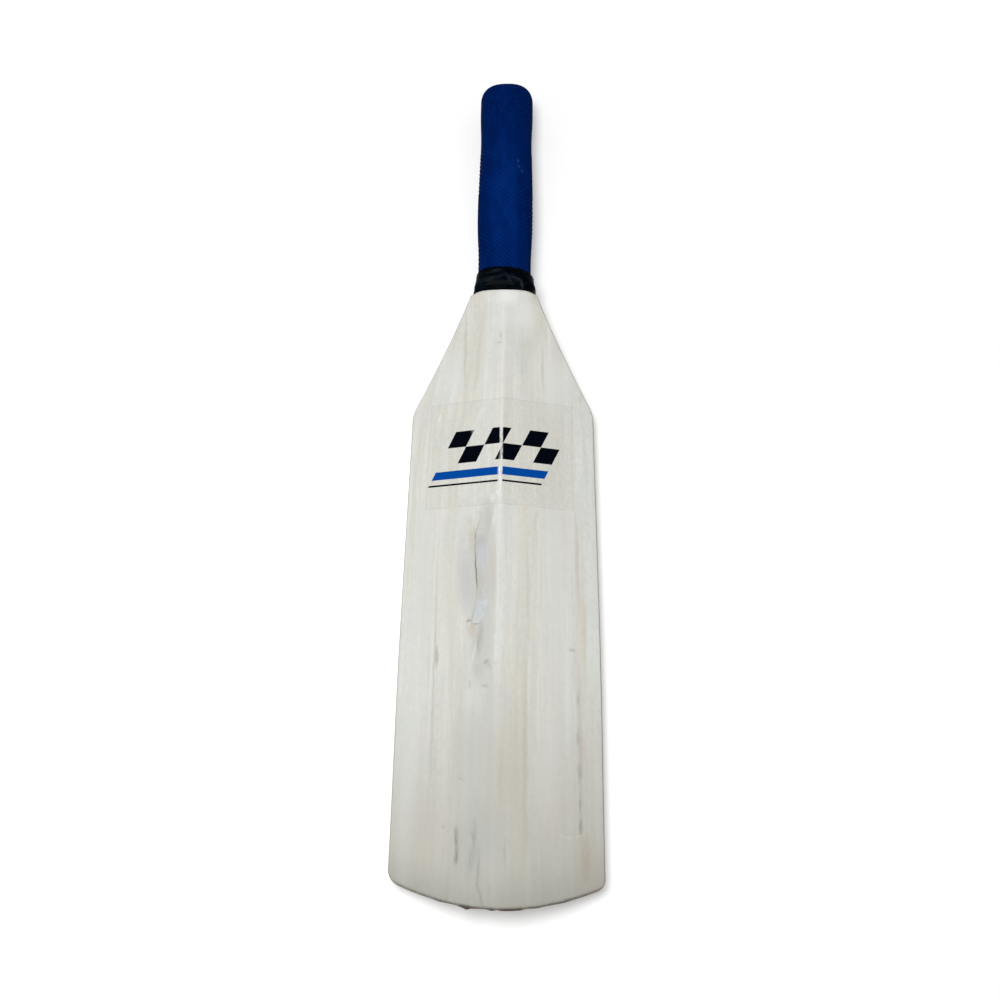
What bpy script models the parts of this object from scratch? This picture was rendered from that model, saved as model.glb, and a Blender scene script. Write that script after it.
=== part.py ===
"""Rounders bat with a flat blade.

One piece of pale wood makes the blade and the core of the handle. A moulded
rubber grip is pulled over the handle, tape binds its open end to the neck, a
clear label lies over the ridge of the back, and filler stops a dead knot.

Metres, +Z up. The bat lies on its flat hitting face at Z = 0 with the ridged
back upward. Its length runs along Y, toe at -Y and butt at +Y, and the origin
is on the face, halfway along the bat.
"""

import math

import bmesh
import bpy
from mathutils import Matrix, Vector

# Lengths along the bat, end to end
BLADE_LENGTH = 0.2375       # toe to the corners where the shoulders start
SHOULDER_LENGTH = 0.0679    # those corners to the lower edge of the tape
HANDLE_LENGTH = 0.1546      # lower edge of the tape to the end of the grip

# Blade
BLADE_WIDTH = 0.0964        # at its widest, above the toe's taper
SHOULDER_WIDTH = 0.0957     # at the corners where the shoulders start
TOE_WIDTH = 0.0948
TOE_TAPER_LENGTH = 0.100    # the sides draw in over this length
TOE_CROWN = 0.0093          # how far the middle of the toe stands past its corners
TOE_SKEW = math.radians(1.0)    # sawn a little out of square, longer on the right
TOE_CORNER_RADIUS = 0.0045
TOE_EDGE_RADIUS = 0.0016
EDGE_THICKNESS = 0.0100     # at the sides of the blade
RIDGE_THICKNESS = 0.0230    # at the ridge of the back
RIDGE_RADIUS = 0.0020       # planed crisp by the handle
RIDGE_RADIUS_TOE = 0.110    # sanded round by the toe
RIDGE_FADE_START = 0.060    # from the shoulder corners to where the ridge starts to soften
FACE_EDGE_RADIUS = 0.0016
BACK_EDGE_RADIUS = 0.0010

# Shoulders and neck
SHOULDER_CORNER_RADIUS = 0.018
SHOULDER_HOLLOW = 0.0010    # how far each shoulder bows in from a straight line
NECK_WIDTH = 0.0373         # wood just below the tape
NECK_LEDGE = 0.0016         # how far each side steps in where the tape starts
NECK_LEDGE_RUN = 0.0008
NECK_RUNOUT = 0.020         # length of the fillet from the neck to the handle
ROUNDING_BEFORE_NECK = 0.012
ROUNDING_PAST_NECK = 0.009

# Handle core: widths along the handle, measured from the butt
CORE_WIDTH_NECK = 0.0264
CORE_WIDTH_BELLY = 0.0280
CORE_WIDTH_WAIST = 0.0266
CORE_WIDTH_KNOB = 0.0280
BELLY_FROM_BUTT = 0.103
WAIST_FROM_BUTT = 0.043
KNOB_FROM_BUTT = 0.020
CORE_THICKNESS = 0.0212
CORE_END_CHAMFER = 0.0020
NECK_SQUARENESS = 5.0       # power of the superellipse; 2 is a true oval
GRIP_SQUARENESS = 3.2       # where the neck's fillet has run out
BUTT_SQUARENESS = 2.5

# Grip
GRIP_WALL = 0.0018
GRIP_LIP = 0.0007           # the wall thins to this at the open end
GRIP_LIP_LENGTH = 0.014
GRIP_END_WALL = 0.0030
GRIP_END_RADIUS = 0.0098
GRIP_END_CROWN = 0.0008
GRIP_CLEAR_OF_FACE = 0.0009

# Ribs of the grip, which slant one way and then the other in bands
RIB_COUNT = 56
RIB_DEPTH = 0.0004
RIB_LEAN = math.radians(45)
RIB_BAND = 0.032
RIB_BANDS = 3
RIBS_FROM_BUTT = 0.0515     # the cuff above the first band is plain
RIB_FADE = 0.003            # they run out to nothing over this length

# Tape
TAPE_WIDTH = 0.0122
TAPE_THICKNESS = 0.0004     # two turns
TAPE_SECOND_TURN = 0.0013   # the upper turn's edge lies this far above the lower's
TAPE_ABOVE_NECK = 0.0010    # its lower edge lies this far up from the ledge
TAPE_ON_WOOD = 0.0060       # bare wood that it covers below the grip
TAPE_STEP_RUN = 0.003       # it climbs onto the grip over this length

# Label
LABEL_WIDTH = 0.0748
LABEL_LENGTH = 0.0590
LABEL_THICKNESS = 0.0002
LABEL_BELOW_SHOULDER = 0.0264   # shoulder corners to the label's centre
LABEL_SHIFT = -0.0007
LABEL_SKEW = math.radians(-0.4)

# Filler in the knot
FILLER_LENGTH = 0.0485
FILLER_WIDTH = 0.0066
FILLER_DEPTH = 0.0022
FILLER_BELOW_SHOULDER = 0.0930
FILLER_FROM_RIDGE = 0.0088
FILLER_SKEW = math.radians(1.2)
FILLER_PEAR = 0.22          # how much fatter its lower half is

FIT_GAP = 0.0003

# How finely the forms are divided
ARC_STEPS = 3
QUARTER_STEPS = 10
ACROSS_HALF = (0.0, 0.04, 0.14, 0.30, 0.52, 0.78, 1.0)
TOE_EDGE_SHARES = (0.0, 0.12, 0.35, 0.7)    # of the toe's edge radius
TOE_CORNER_STEPS = 3
BLADE_STEPS = 11
SHOULDER_STEPS = 5
NECK_STEPS = 6
FILLET_STEPS = 5
HANDLE_STEPS = 9
FILLER_SIDES = 28
RIB_BAND_STEPS = 9
CUFF_STEPS = 7
DOME_STEPS = 6
BORE_STEPS = 10
BORE_MOUTH_STEPS = 4
TAPE_STEPS = 3
LABEL_FOLD = (-1.0, -0.5, 0.0, 0.5, 1.0)    # shares of the ridge's round

# Places that follow from the sizes
OVERALL_LENGTH = BLADE_LENGTH + SHOULDER_LENGTH + HANDLE_LENGTH
TOE_Y = -OVERALL_LENGTH / 2
SHOULDER_Y = TOE_Y + BLADE_LENGTH
NECK_Y = SHOULDER_Y + SHOULDER_LENGTH
BUTT_Y = NECK_Y + HANDLE_LENGTH
CORE_END_Y = BUTT_Y - GRIP_END_WALL - FIT_GAP
GRIP_START_Y = NECK_Y + TAPE_ON_WOOD
TOE_CORNER_Y = TOE_Y + TOE_CROWN
ROOF_SLOPE = (RIDGE_THICKNESS - EDGE_THICKNESS) / (BLADE_WIDTH / 2)
ROOF_ANGLE = math.atan(ROOF_SLOPE)
CORE_CENTRE_Z = GRIP_CLEAR_OF_FACE + GRIP_WALL + FIT_GAP + CORE_THICKNESS / 2


def ease(value, start, end):
    """Share from 0 at start to 1 at end, leaving and arriving level."""
    share = min(max((value - start) / (end - start), 0.0), 1.0)
    return share * share * (3 - 2 * share)


def mix(a, b, share):
    return a + (b - a) * share


def evenly(start, end, steps):
    """Values from start up to, and without, end."""
    return [mix(start, end, i / steps) for i in range(steps)]


# Wood

def core_half_width(y):
    """Half the width of the handle core, which swells and draws in along the hand."""
    stops = (
        (NECK_Y + NECK_RUNOUT, CORE_WIDTH_NECK),
        (BUTT_Y - BELLY_FROM_BUTT, CORE_WIDTH_BELLY),
        (BUTT_Y - WAIST_FROM_BUTT, CORE_WIDTH_WAIST),
        (BUTT_Y - KNOB_FROM_BUTT, CORE_WIDTH_KNOB),
    )
    width = stops[0][1]
    for (start, _), (end, next_width) in zip(stops, stops[1:]):
        width = mix(width, next_width, ease(y, start, end))
    return width / 2


def blade_half_width(y):
    """Half the width of the blade, which is widest where the toe's taper starts."""
    widest_y = TOE_CORNER_Y + TOE_TAPER_LENGTH
    below = mix(TOE_WIDTH, BLADE_WIDTH, ease(y, TOE_CORNER_Y, widest_y))
    return mix(below, SHOULDER_WIDTH, ease(y, widest_y, SHOULDER_Y)) / 2


def shoulder_half_width(y):
    """A nearly straight line from the blade's corner in to the neck, slightly hollow."""
    share = (y - SHOULDER_Y) / SHOULDER_LENGTH
    return mix(SHOULDER_WIDTH, NECK_WIDTH, share) / 2 - SHOULDER_HOLLOW * 4 * share * (1 - share)


def half_width(y):
    """Half the width of the wood in plan."""
    if y > NECK_Y:
        run = min(NECK_Y + NECK_RUNOUT - y, NECK_RUNOUT)
        rise = NECK_WIDTH / 2 - NECK_LEDGE - core_half_width(NECK_Y)
        radius = (NECK_RUNOUT ** 2 + rise ** 2) / (2 * rise)
        fillet = radius - math.sqrt(radius ** 2 - max(run, 0.0) ** 2)
        ledge = NECK_LEDGE * max(1 - (y - NECK_Y) / NECK_LEDGE_RUN, 0.0)
        return core_half_width(y) + fillet + ledge
    slope = ((SHOULDER_WIDTH - NECK_WIDTH) / 2 + 4 * SHOULDER_HOLLOW) / SHOULDER_LENGTH
    corner = SHOULDER_CORNER_RADIUS * math.tan(math.atan(slope) / 2)
    if y < SHOULDER_Y - corner:
        return blade_half_width(y)
    past = y - (SHOULDER_Y - corner)
    rounded = math.sqrt(max(SHOULDER_CORNER_RADIUS ** 2 - past ** 2, 0.0)) - SHOULDER_CORNER_RADIUS
    if past < corner * (1 + math.cos(math.atan(slope))):
        return SHOULDER_WIDTH / 2 + rounded
    return shoulder_half_width(y)


def ridge_radius(y):
    """The ridge softens from crisp to broad towards the toe, by a steady ratio."""
    start = SHOULDER_Y - RIDGE_FADE_START
    share = min(max((start - y) / (start - TOE_Y), 0.0), 1.0)
    return RIDGE_RADIUS * (RIDGE_RADIUS_TOE / RIDGE_RADIUS) ** share


def roof_height(x, radius):
    """Height of the back over x: two slopes that meet in a ridge of this radius."""
    reach = radius * math.sin(ROOF_ANGLE)
    if abs(x) >= reach:
        return RIDGE_THICKNESS - ROOF_SLOPE * abs(x)
    return RIDGE_THICKNESS - radius / math.cos(ROOF_ANGLE) + math.sqrt(radius ** 2 - x ** 2)


def mirrored(x_z):
    return (-x_z[0], x_z[1])


def closed_ring(below, above):
    """Ring of (x, z) from the left side, along the face and back over the top.

    below and above run outwards from the middle; only below ends on the side itself.
    """
    face = [mirrored(p) for p in reversed(below)] + below[1:]
    back = list(reversed(above)) + [mirrored(p) for p in above[1:]]
    return face + back


def arc(centre, radius, start, end):
    """Points round an arc in degrees, without its first one."""
    angles = [math.radians(mix(start, end, i / ARC_STEPS)) for i in range(1, ARC_STEPS + 1)]
    return [(centre[0] + radius * math.cos(a), centre[1] + radius * math.sin(a)) for a in angles]


def blade_ring(half, radius, trim=0.0):
    """Blade section: flat face, upright sides and roofed back, with the corners eased.

    trim lifts the face and lowers the back, where the toe's end is rounded.
    """
    lower = FACE_EDGE_RADIUS
    upper = BACK_EDGE_RADIUS
    below = [(f * (half - lower), trim) for f in ACROSS_HALF]
    below += arc((half - lower, trim + lower), lower, -90, 0)
    upper_z = RIDGE_THICKNESS - ROOF_SLOPE * (half - upper) - upper / math.cos(ROOF_ANGLE)
    bend = 90 - math.degrees(ROOF_ANGLE)
    roof_end = half - upper + upper * math.sin(ROOF_ANGLE)
    above = [(f * roof_end, roof_height(f * roof_end, radius) - trim) for f in ACROSS_HALF]
    above += arc((half - upper, upper_z - trim), upper, bend, 0)
    below.append((half, mix(below[-1][1], above[-1][1], 0.5)))
    return closed_ring(below, above)


def handle_ring(half, y):
    """Handle section: a superellipse, squarer by the neck than at the butt."""
    power = mix(NECK_SQUARENESS, GRIP_SQUARENESS, ease(y, NECK_Y, NECK_Y + NECK_RUNOUT))
    power = mix(power, BUTT_SQUARENESS, ease(y, NECK_Y, BUTT_Y))
    points = []
    for i in range(4 * QUARTER_STEPS):
        turn = math.pi + math.pi / 2 * i / QUARTER_STEPS
        across = math.cos(turn)
        up = math.sin(turn)
        reach = (abs(across) ** power + abs(up) ** power) ** (-1 / power)
        points.append((half * across * reach, CORE_CENTRE_Z + CORE_THICKNESS / 2 * up * reach))
    return points


def wood_ring(y):
    """Section of the wood at y, which turns from roofed blade to rounded handle at the neck."""
    half = half_width(y)
    share = ease(y, NECK_Y - ROUNDING_BEFORE_NECK, NECK_Y + ROUNDING_PAST_NECK)
    pairs = zip(blade_ring(half, ridge_radius(y)), handle_ring(half, y))
    return [(mix(b[0], h[0], share), mix(b[1], h[1], share)) for b, h in pairs]


def grown(ring, offset):
    """The ring moved outwards by offset, square to itself."""
    moved = []
    for i, (x, z) in enumerate(ring):
        before = ring[i - 1]
        after = ring[(i + 1) % len(ring)]
        run = Vector((after[0] - before[0], after[1] - before[1])).normalized()
        moved.append((x + run.y * offset, z - run.x * offset))
    return moved


def shrunk(ring, inset):
    """The ring scaled about the handle's axis, so that its sides and back come in by inset."""
    half = max(x for x, _ in ring)
    rise = max(z for _, z in ring) - CORE_CENTRE_Z
    return [(x * (half - inset) / half, CORE_CENTRE_Z + (z - CORE_CENTRE_Z) * (rise - inset) / rise)
            for x, z in ring]


def level_ring(bm, ring, y):
    return [bm.verts.new((x, y, z)) for x, z in ring]


def skin(bm, rings):
    """Quads between each ring and the next."""
    for first, second in zip(rings, rings[1:]):
        for i, _ in enumerate(first):
            j = (i + 1) % len(first)
            bm.faces.new((first[i], second[i], second[j], first[j]))


def cap(bm, ring):
    """Close a symmetrical ring with strips from its face to its back."""
    half = len(ring) // 2
    for i in range(2, half - 2):
        bm.faces.new((ring[i], ring[i + 1], ring[-i - 1], ring[-i]))
    bm.faces.new(ring[-2:] + ring[:3])
    bm.faces.new(ring[half - 2:half + 3])


def material(name, colour, roughness):
    made = bpy.data.materials.new(name)
    made.use_nodes = True
    shader = made.node_tree.nodes["Principled BSDF"]
    shader.inputs["Base Color"].default_value = (*colour, 1.0)
    shader.inputs["Roughness"].default_value = roughness
    made.diffuse_color = (*colour, 1.0)
    return made


def add_object(name, bm, finish, smooth_below=30):
    """Make the object, faces out, smooth up to the given angle between faces."""
    bmesh.ops.recalc_face_normals(bm, faces=bm.faces)
    mesh = bpy.data.meshes.new(name)
    bm.to_mesh(mesh)
    bm.free()
    mesh.materials.append(finish)
    mesh.shade_smooth()
    mesh.set_sharp_from_angle(angle=math.radians(smooth_below))
    made = bpy.data.objects.new(name, mesh)
    bpy.context.scene.collection.objects.link(made)
    return made


def toe_rings(bm):
    """Rings from the crowned end of the toe up to full width, rounded in plan and in edge."""
    rings = []
    from_end = [share * TOE_EDGE_RADIUS for share in TOE_EDGE_SHARES]
    from_end += evenly(TOE_EDGE_RADIUS, TOE_CORNER_RADIUS, TOE_CORNER_STEPS) + [TOE_CORNER_RADIUS]
    for depth in from_end:
        corner = TOE_CORNER_RADIUS - depth
        inset = TOE_CORNER_RADIUS - math.sqrt(TOE_CORNER_RADIUS ** 2 - corner ** 2)
        edge = max(TOE_EDGE_RADIUS - depth, 0.0)
        trim = TOE_EDGE_RADIUS - math.sqrt(TOE_EDGE_RADIUS ** 2 - edge ** 2)
        y = TOE_CORNER_Y + depth
        half = blade_half_width(y) - inset
        rings.append(bowed_ring(bm, blade_ring(half, ridge_radius(y), trim), y, 1.0))
    return rings


def bowed_ring(bm, ring, y, share):
    """A ring moved towards the toe by a share of the toe's crown and skew."""
    verts = []
    for x, z in ring:
        across = x / (TOE_WIDTH / 2)
        reach = TOE_CROWN * (1 - across ** 2) + x * math.tan(TOE_SKEW)
        verts.append(bm.verts.new((x, y - share * reach, z)))
    return verts


def build_wood(finish):
    """Blade, shoulders and handle core, lofted from the toe to the butt."""
    bm = bmesh.new()
    rings = toe_rings(bm)
    first = TOE_CORNER_Y + TOE_CORNER_RADIUS
    corner_run = SHOULDER_CORNER_RADIUS / 4
    rounding_start = NECK_Y - ROUNDING_BEFORE_NECK
    stations = evenly(first, SHOULDER_Y - corner_run, BLADE_STEPS)[1:]
    stations += evenly(SHOULDER_Y - corner_run, SHOULDER_Y + corner_run, SHOULDER_STEPS)
    stations += evenly(SHOULDER_Y + corner_run, rounding_start, SHOULDER_STEPS)
    stations += evenly(rounding_start, NECK_Y, NECK_STEPS)
    stations += [NECK_Y]
    stations += evenly(NECK_Y + NECK_LEDGE_RUN, NECK_Y + NECK_RUNOUT, FILLET_STEPS)
    stations += evenly(NECK_Y + NECK_RUNOUT, CORE_END_Y - CORE_END_CHAMFER, HANDLE_STEPS)
    stations += [CORE_END_Y - CORE_END_CHAMFER]
    for y in stations:
        share = 1 - ease(y, first, SHOULDER_Y - corner_run)
        rings.append(bowed_ring(bm, wood_ring(y), y, share) if share > 0 else level_ring(bm, wood_ring(y), y))
    rings.append(level_ring(bm, shrunk(wood_ring(CORE_END_Y), CORE_END_CHAMFER), CORE_END_Y))
    skin(bm, rings)
    cap(bm, rings[0])
    cap(bm, rings[-1])
    return add_object("blade", bm, finish)


# Filler

def filler_block(grow, above):
    """Pear-shaped plug let into the left slope of the back, its top flush with the slope.

    grow widens and deepens it, which makes the pocket, and above lifts its top.
    """
    bm = bmesh.new()
    outline = []
    for i in range(FILLER_SIDES):
        turn = 2 * math.pi * i / FILLER_SIDES
        fatness = 1 - FILLER_PEAR * math.cos(turn)
        across = (FILLER_WIDTH / 2 + grow) * math.sin(turn) * fatness
        along = (FILLER_LENGTH / 2 + grow) * math.cos(turn)
        outline.append(bm.verts.new((across, along, above)))
    top = bm.faces.new(outline)
    deep = bmesh.ops.extrude_face_region(bm, geom=[top])
    lowered = [v for v in deep["geom"] if isinstance(v, bmesh.types.BMVert)]
    bmesh.ops.translate(bm, verts=lowered, vec=(0, 0, -FILLER_DEPTH - grow - above))
    middle = Vector((-FILLER_FROM_RIDGE, SHOULDER_Y - FILLER_BELOW_SHOULDER,
                     RIDGE_THICKNESS - ROOF_SLOPE * FILLER_FROM_RIDGE))
    lean = Matrix.Rotation(-ROOF_ANGLE, 4, "Y") @ Matrix.Rotation(FILLER_SKEW, 4, "Z")
    bm.transform(Matrix.Translation(middle) @ lean)
    return bm


def build_filler(wood, finish):
    """The filler, and the pocket that is cut for it in the wood."""
    filler = add_object("knot_filler", filler_block(0.0, 0.0), finish)
    pocket = add_object("knot_pocket_cutter", filler_block(FIT_GAP, FILLER_DEPTH), finish)
    pocket.hide_render = True
    pocket.display_type = "WIRE"
    cut = wood.modifiers.new("knot pocket", "BOOLEAN")
    cut.operation = "DIFFERENCE"
    cut.solver = "EXACT"
    cut.object = pocket
    return filler


# Grip

def grip_wall(y):
    """Wall of the sleeve, thinned to a lip where the tape holds it down."""
    return mix(GRIP_LIP, GRIP_WALL, ease(y, GRIP_START_Y, GRIP_START_Y + GRIP_LIP_LENGTH))


def grip_outer_ring(y):
    return grown(wood_ring(y), FIT_GAP + grip_wall(y))


def side_lengths(ring):
    return [math.dist(point, ring[(i + 1) % len(ring)]) for i, point in enumerate(ring)]


def respaced(ring, count, turned):
    """The ring's outline with count points at even distances, the first turned on round it."""
    lengths = side_lengths(ring)
    step = sum(lengths) / count
    points = []
    for i in range(count):
        run = ((i + turned * count) % count) * step
        side = 0
        while side < len(ring) - 1 and run > lengths[side]:
            run -= lengths[side]
            side += 1
        after = ring[(side + 1) % len(ring)]
        share = run / lengths[side]
        points.append((mix(ring[side][0], after[0], share), mix(ring[side][1], after[1], share)))
    return points


def ribbed_ring(y, turned):
    """Outside of the grip with a crest and a valley for each rib."""
    outline = respaced(grip_outer_ring(y), 2 * RIB_COUNT, turned)
    ribs_end = BUTT_Y - RIBS_FROM_BUTT
    depth = RIB_DEPTH * (1 - ease(y, ribs_end - RIB_FADE, ribs_end))
    valleys = grown(outline, -depth)
    return [valleys[i] if i % 2 else point for i, point in enumerate(outline)]


def ribbed_rings(bm):
    """Rings from the plain cuff down to the open end; the slant changes side at each band."""
    ribs_end = BUTT_Y - RIBS_FROM_BUTT
    heights = [ribs_end, ribs_end - RIB_FADE / 2]
    for band in range(RIB_BANDS):
        top = ribs_end - band * RIB_BAND
        bottom = max(top - RIB_BAND, GRIP_START_Y)
        heights += evenly(top - (RIB_FADE if band == 0 else 0.0), bottom, RIB_BAND_STEPS)
    heights.append(GRIP_START_Y)
    rings = []
    turned = 0.0
    for y, lower in zip(heights, heights[1:] + heights[-1:]):
        rings.append(level_ring(bm, ribbed_ring(y, turned), y))
        band = int((ribs_end - mix(y, lower, 0.5)) / RIB_BAND)
        slant = math.tan(RIB_LEAN) * (1 if band % 2 else -1)
        turned += slant * (y - lower) / sum(side_lengths(grip_outer_ring(y)))
    return rings, turned


def halve(bm, full, half):
    """Join a ring to one with half as many points."""
    for i, near in enumerate(half):
        far = half[(i + 1) % len(half)]
        first = full[2 * i]
        middle = full[2 * i + 1]
        last = full[(2 * i + 2) % len(full)]
        bm.faces.new((first, near, middle))
        bm.faces.new((middle, near, far))
        bm.faces.new((middle, far, last))


def dome_rings(bm):
    """The closed end: sides rounded over to a slightly crowned tip."""
    start = BUTT_Y - GRIP_END_RADIUS - GRIP_END_CROWN
    widest = respaced(grip_outer_ring(start), RIB_COUNT, 0.0)
    rings = []
    for i in range(DOME_STEPS + 1):
        turn = math.pi / 2 * i / DOME_STEPS
        ring = shrunk(widest, GRIP_END_RADIUS * (1 - math.cos(turn)))
        rings.append(level_ring(bm, ring, start + GRIP_END_RADIUS * math.sin(turn)))
    tip = bm.verts.new((0, BUTT_Y, CORE_CENTRE_Z))
    last = rings[-1]
    for i, vert in enumerate(last):
        bm.faces.new((vert, tip, last[(i + 1) % len(last)]))
    return rings


def build_grip(finish):
    """Closed-end sleeve: ribbed outside, plain cuff, domed end, and the bore inside."""
    bm = bmesh.new()
    ribbed, turned = ribbed_rings(bm)
    ribs_end = BUTT_Y - RIBS_FROM_BUTT
    dome = dome_rings(bm)
    cuff_heights = evenly(ribs_end, BUTT_Y - GRIP_END_RADIUS - GRIP_END_CROWN, CUFF_STEPS)[1:]
    cuff = [level_ring(bm, respaced(grip_outer_ring(y), RIB_COUNT, 0.0), y) for y in cuff_heights]
    halve(bm, ribbed[0], cuff[0])
    skin(bm, ribbed)
    skin(bm, cuff + dome)
    neck_end = NECK_Y + NECK_RUNOUT
    bore_heights = evenly(CORE_END_Y - CORE_END_CHAMFER, neck_end, BORE_STEPS)
    bore_heights += evenly(neck_end, GRIP_START_Y, BORE_MOUTH_STEPS) + [GRIP_START_Y]
    end_ring = shrunk(grown(wood_ring(CORE_END_Y), FIT_GAP), CORE_END_CHAMFER)
    bore = [level_ring(bm, respaced(end_ring, RIB_COUNT, turned), CORE_END_Y + FIT_GAP)]
    for y in bore_heights:
        bore.append(level_ring(bm, respaced(grown(wood_ring(y), FIT_GAP), RIB_COUNT, turned), y))
    skin(bm, bore)
    bm.faces.new(bore[0])
    halve(bm, ribbed[-1], bore[-1])
    return add_object("rubber_grip", bm, finish, smooth_below=25)


# Tape

def build_tape(finish):
    """Two turns of tape, pulled in round the neck and over the grip's open end."""
    bm = bmesh.new()
    start = NECK_Y + TAPE_ABOVE_NECK
    end = start + TAPE_WIDTH
    second = start + TAPE_SECOND_TURN
    climb = GRIP_START_Y - TAPE_STEP_RUN
    stations = [start, second, second + FIT_GAP]
    stations += evenly(climb, GRIP_START_Y, TAPE_STEPS) + evenly(GRIP_START_Y, end, TAPE_STEPS)
    inner = []
    outer = []
    for y in stations + [end]:
        over_grip = (grip_wall(y) + FIT_GAP) * ease(y, climb, GRIP_START_Y - FIT_GAP)
        thickness = TAPE_THICKNESS if y > second else TAPE_THICKNESS / 2
        inner.append(level_ring(bm, grown(wood_ring(y), over_grip + FIT_GAP), y))
        outer.append(level_ring(bm, grown(wood_ring(y), over_grip + FIT_GAP + thickness), y))
    skin(bm, outer)
    skin(bm, list(reversed(inner)))
    skin(bm, [inner[0], outer[0]])
    skin(bm, [outer[-1], inner[-1]])
    return add_object("neck_tape", bm, finish, smooth_below=40)


# Label

def label_corner(side, end):
    """Plan position of a point on the label's outline; side and end run from -1 to 1."""
    across = side * LABEL_WIDTH / 2
    along = end * LABEL_LENGTH / 2
    x = LABEL_SHIFT + across * math.cos(LABEL_SKEW) - along * math.sin(LABEL_SKEW)
    y = across * math.sin(LABEL_SKEW) + along * math.cos(LABEL_SKEW)
    return x, SHOULDER_Y - LABEL_BELOW_SHOULDER + y


def build_label(finish):
    """Clear film folded over the ridge."""
    bm = bmesh.new()
    fold = [RIDGE_RADIUS * math.sin(ROOF_ANGLE) * share for share in LABEL_FOLD]
    layers = []
    for lift in (FIT_GAP, FIT_GAP + LABEL_THICKNESS):
        rows = []
        for end in (-1, 1):
            left = label_corner(-1, end)
            right = label_corner(1, end)
            row = []
            for x in [left[0]] + fold + [right[0]]:
                y = mix(left[1], right[1], (x - left[0]) / (right[0] - left[0]))
                z = roof_height(x, RIDGE_RADIUS) + lift / math.cos(ROOF_ANGLE)
                row.append(bm.verts.new((x, y, z)))
            rows.append(row)
        layers.append(rows)
    under = layers[0]
    over = layers[1]
    count = len(under[0])
    for i in range(count - 1):
        bm.faces.new((over[0][i], over[0][i + 1], over[1][i + 1], over[1][i]))
        bm.faces.new((under[0][i], under[1][i], under[1][i + 1], under[0][i + 1]))
        bm.faces.new((under[0][i], under[0][i + 1], over[0][i + 1], over[0][i]))
        bm.faces.new((under[1][i], over[1][i], over[1][i + 1], under[1][i + 1]))
    for i in (0, count - 1):
        bm.faces.new((under[0][i], over[0][i], over[1][i], under[1][i]))
    return add_object("label", bm, finish)


def main():
    for leftover in list(bpy.data.objects):
        bpy.data.objects.remove(leftover)
    pale_wood = material("sanded pale wood", (0.68, 0.66, 0.58), 0.55)
    blue_rubber = material("blue moulded rubber", (0.002, 0.016, 0.108), 0.6)
    black_pvc = material("black PVC tape", (0.004, 0.005, 0.007), 0.35)
    clear_film = material("clear label film", (0.62, 0.63, 0.60), 0.2)
    stopping = material("grey wood filler", (0.47, 0.48, 0.46), 0.7)
    wood = build_wood(pale_wood)
    build_filler(wood, stopping)
    build_grip(blue_rubber)
    build_tape(black_pvc)
    build_label(clear_film)


main()
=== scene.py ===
"""Looks of a rounders bat with a flat blade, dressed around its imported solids.

Metres, +Z up, in the frame of the solids. The bat lies on its flat hitting face at
Z = 0 with the ridged back upward, its toe at -Y and its butt at +Y.
"""

import math

import bpy
import numpy as np
from mathutils import Matrix, Vector, noise


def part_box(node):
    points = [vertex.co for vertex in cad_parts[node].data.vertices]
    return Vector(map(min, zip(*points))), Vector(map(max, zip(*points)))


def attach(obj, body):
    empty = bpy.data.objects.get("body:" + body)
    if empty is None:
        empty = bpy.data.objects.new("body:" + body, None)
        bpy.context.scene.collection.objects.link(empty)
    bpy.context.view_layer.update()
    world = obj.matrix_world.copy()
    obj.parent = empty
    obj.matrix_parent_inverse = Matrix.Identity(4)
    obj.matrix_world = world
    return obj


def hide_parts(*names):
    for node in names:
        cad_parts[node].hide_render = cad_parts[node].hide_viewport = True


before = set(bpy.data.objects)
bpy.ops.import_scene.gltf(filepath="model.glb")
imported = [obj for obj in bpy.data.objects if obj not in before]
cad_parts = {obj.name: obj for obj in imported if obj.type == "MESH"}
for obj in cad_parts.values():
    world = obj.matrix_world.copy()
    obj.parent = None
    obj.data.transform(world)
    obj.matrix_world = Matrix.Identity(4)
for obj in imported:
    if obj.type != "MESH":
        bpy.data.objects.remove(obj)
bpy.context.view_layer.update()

MM = 0.001

# Places read from the frame
TOE_Y, CORE_END_Y = [corner.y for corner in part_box("blade")]
GRIP_START_Y, BUTT_Y = [corner.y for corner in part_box("rubber_grip")]
TAPE_START_Y, TAPE_END_Y = [corner.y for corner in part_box("neck_tape")]

# Wood, at the sizes of the solids
BLADE_LENGTH = 237.5 * MM
SHOULDER_LENGTH = 67.9 * MM
BLADE_WIDTH = 96.4 * MM
SHOULDER_WIDTH = 95.7 * MM
TOE_WIDTH = 94.8 * MM
TOE_TAPER_LENGTH = 100 * MM
TOE_CROWN = 9.3 * MM
TOE_SKEW = math.radians(1.0)
TOE_CORNER_LEFT = 4.6 * MM
TOE_CORNER_RIGHT = 3.6 * MM
TOE_EDGE_RADIUS = 1.6 * MM
EDGE_THICKNESS = 10 * MM
RIDGE_THICKNESS = 23 * MM
RIDGE_RADIUS = 2 * MM
RIDGE_RADIUS_TOE = 110 * MM
RIDGE_FADE_START = 60 * MM
FACE_EDGE_RADIUS = 1.6 * MM
BACK_EDGE_RADIUS = 1.0 * MM
SHOULDER_CORNER_RADIUS = 18 * MM
SHOULDER_HOLLOW = 1.0 * MM
NECK_WIDTH = 37.3 * MM
NECK_LEDGE = 1.6 * MM
NECK_LEDGE_RUN = 0.8 * MM
NECK_RUNOUT = 20 * MM
ROUNDING_BEFORE_NECK = 12 * MM
ROUNDING_PAST_NECK = 9 * MM
CORE_THICKNESS = 21.2 * MM
CORE_END_CHAMFER = 2 * MM
NECK_SQUARENESS = 5.0
GRIP_SQUARENESS = 3.2
BUTT_SQUARENESS = 2.5

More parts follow.
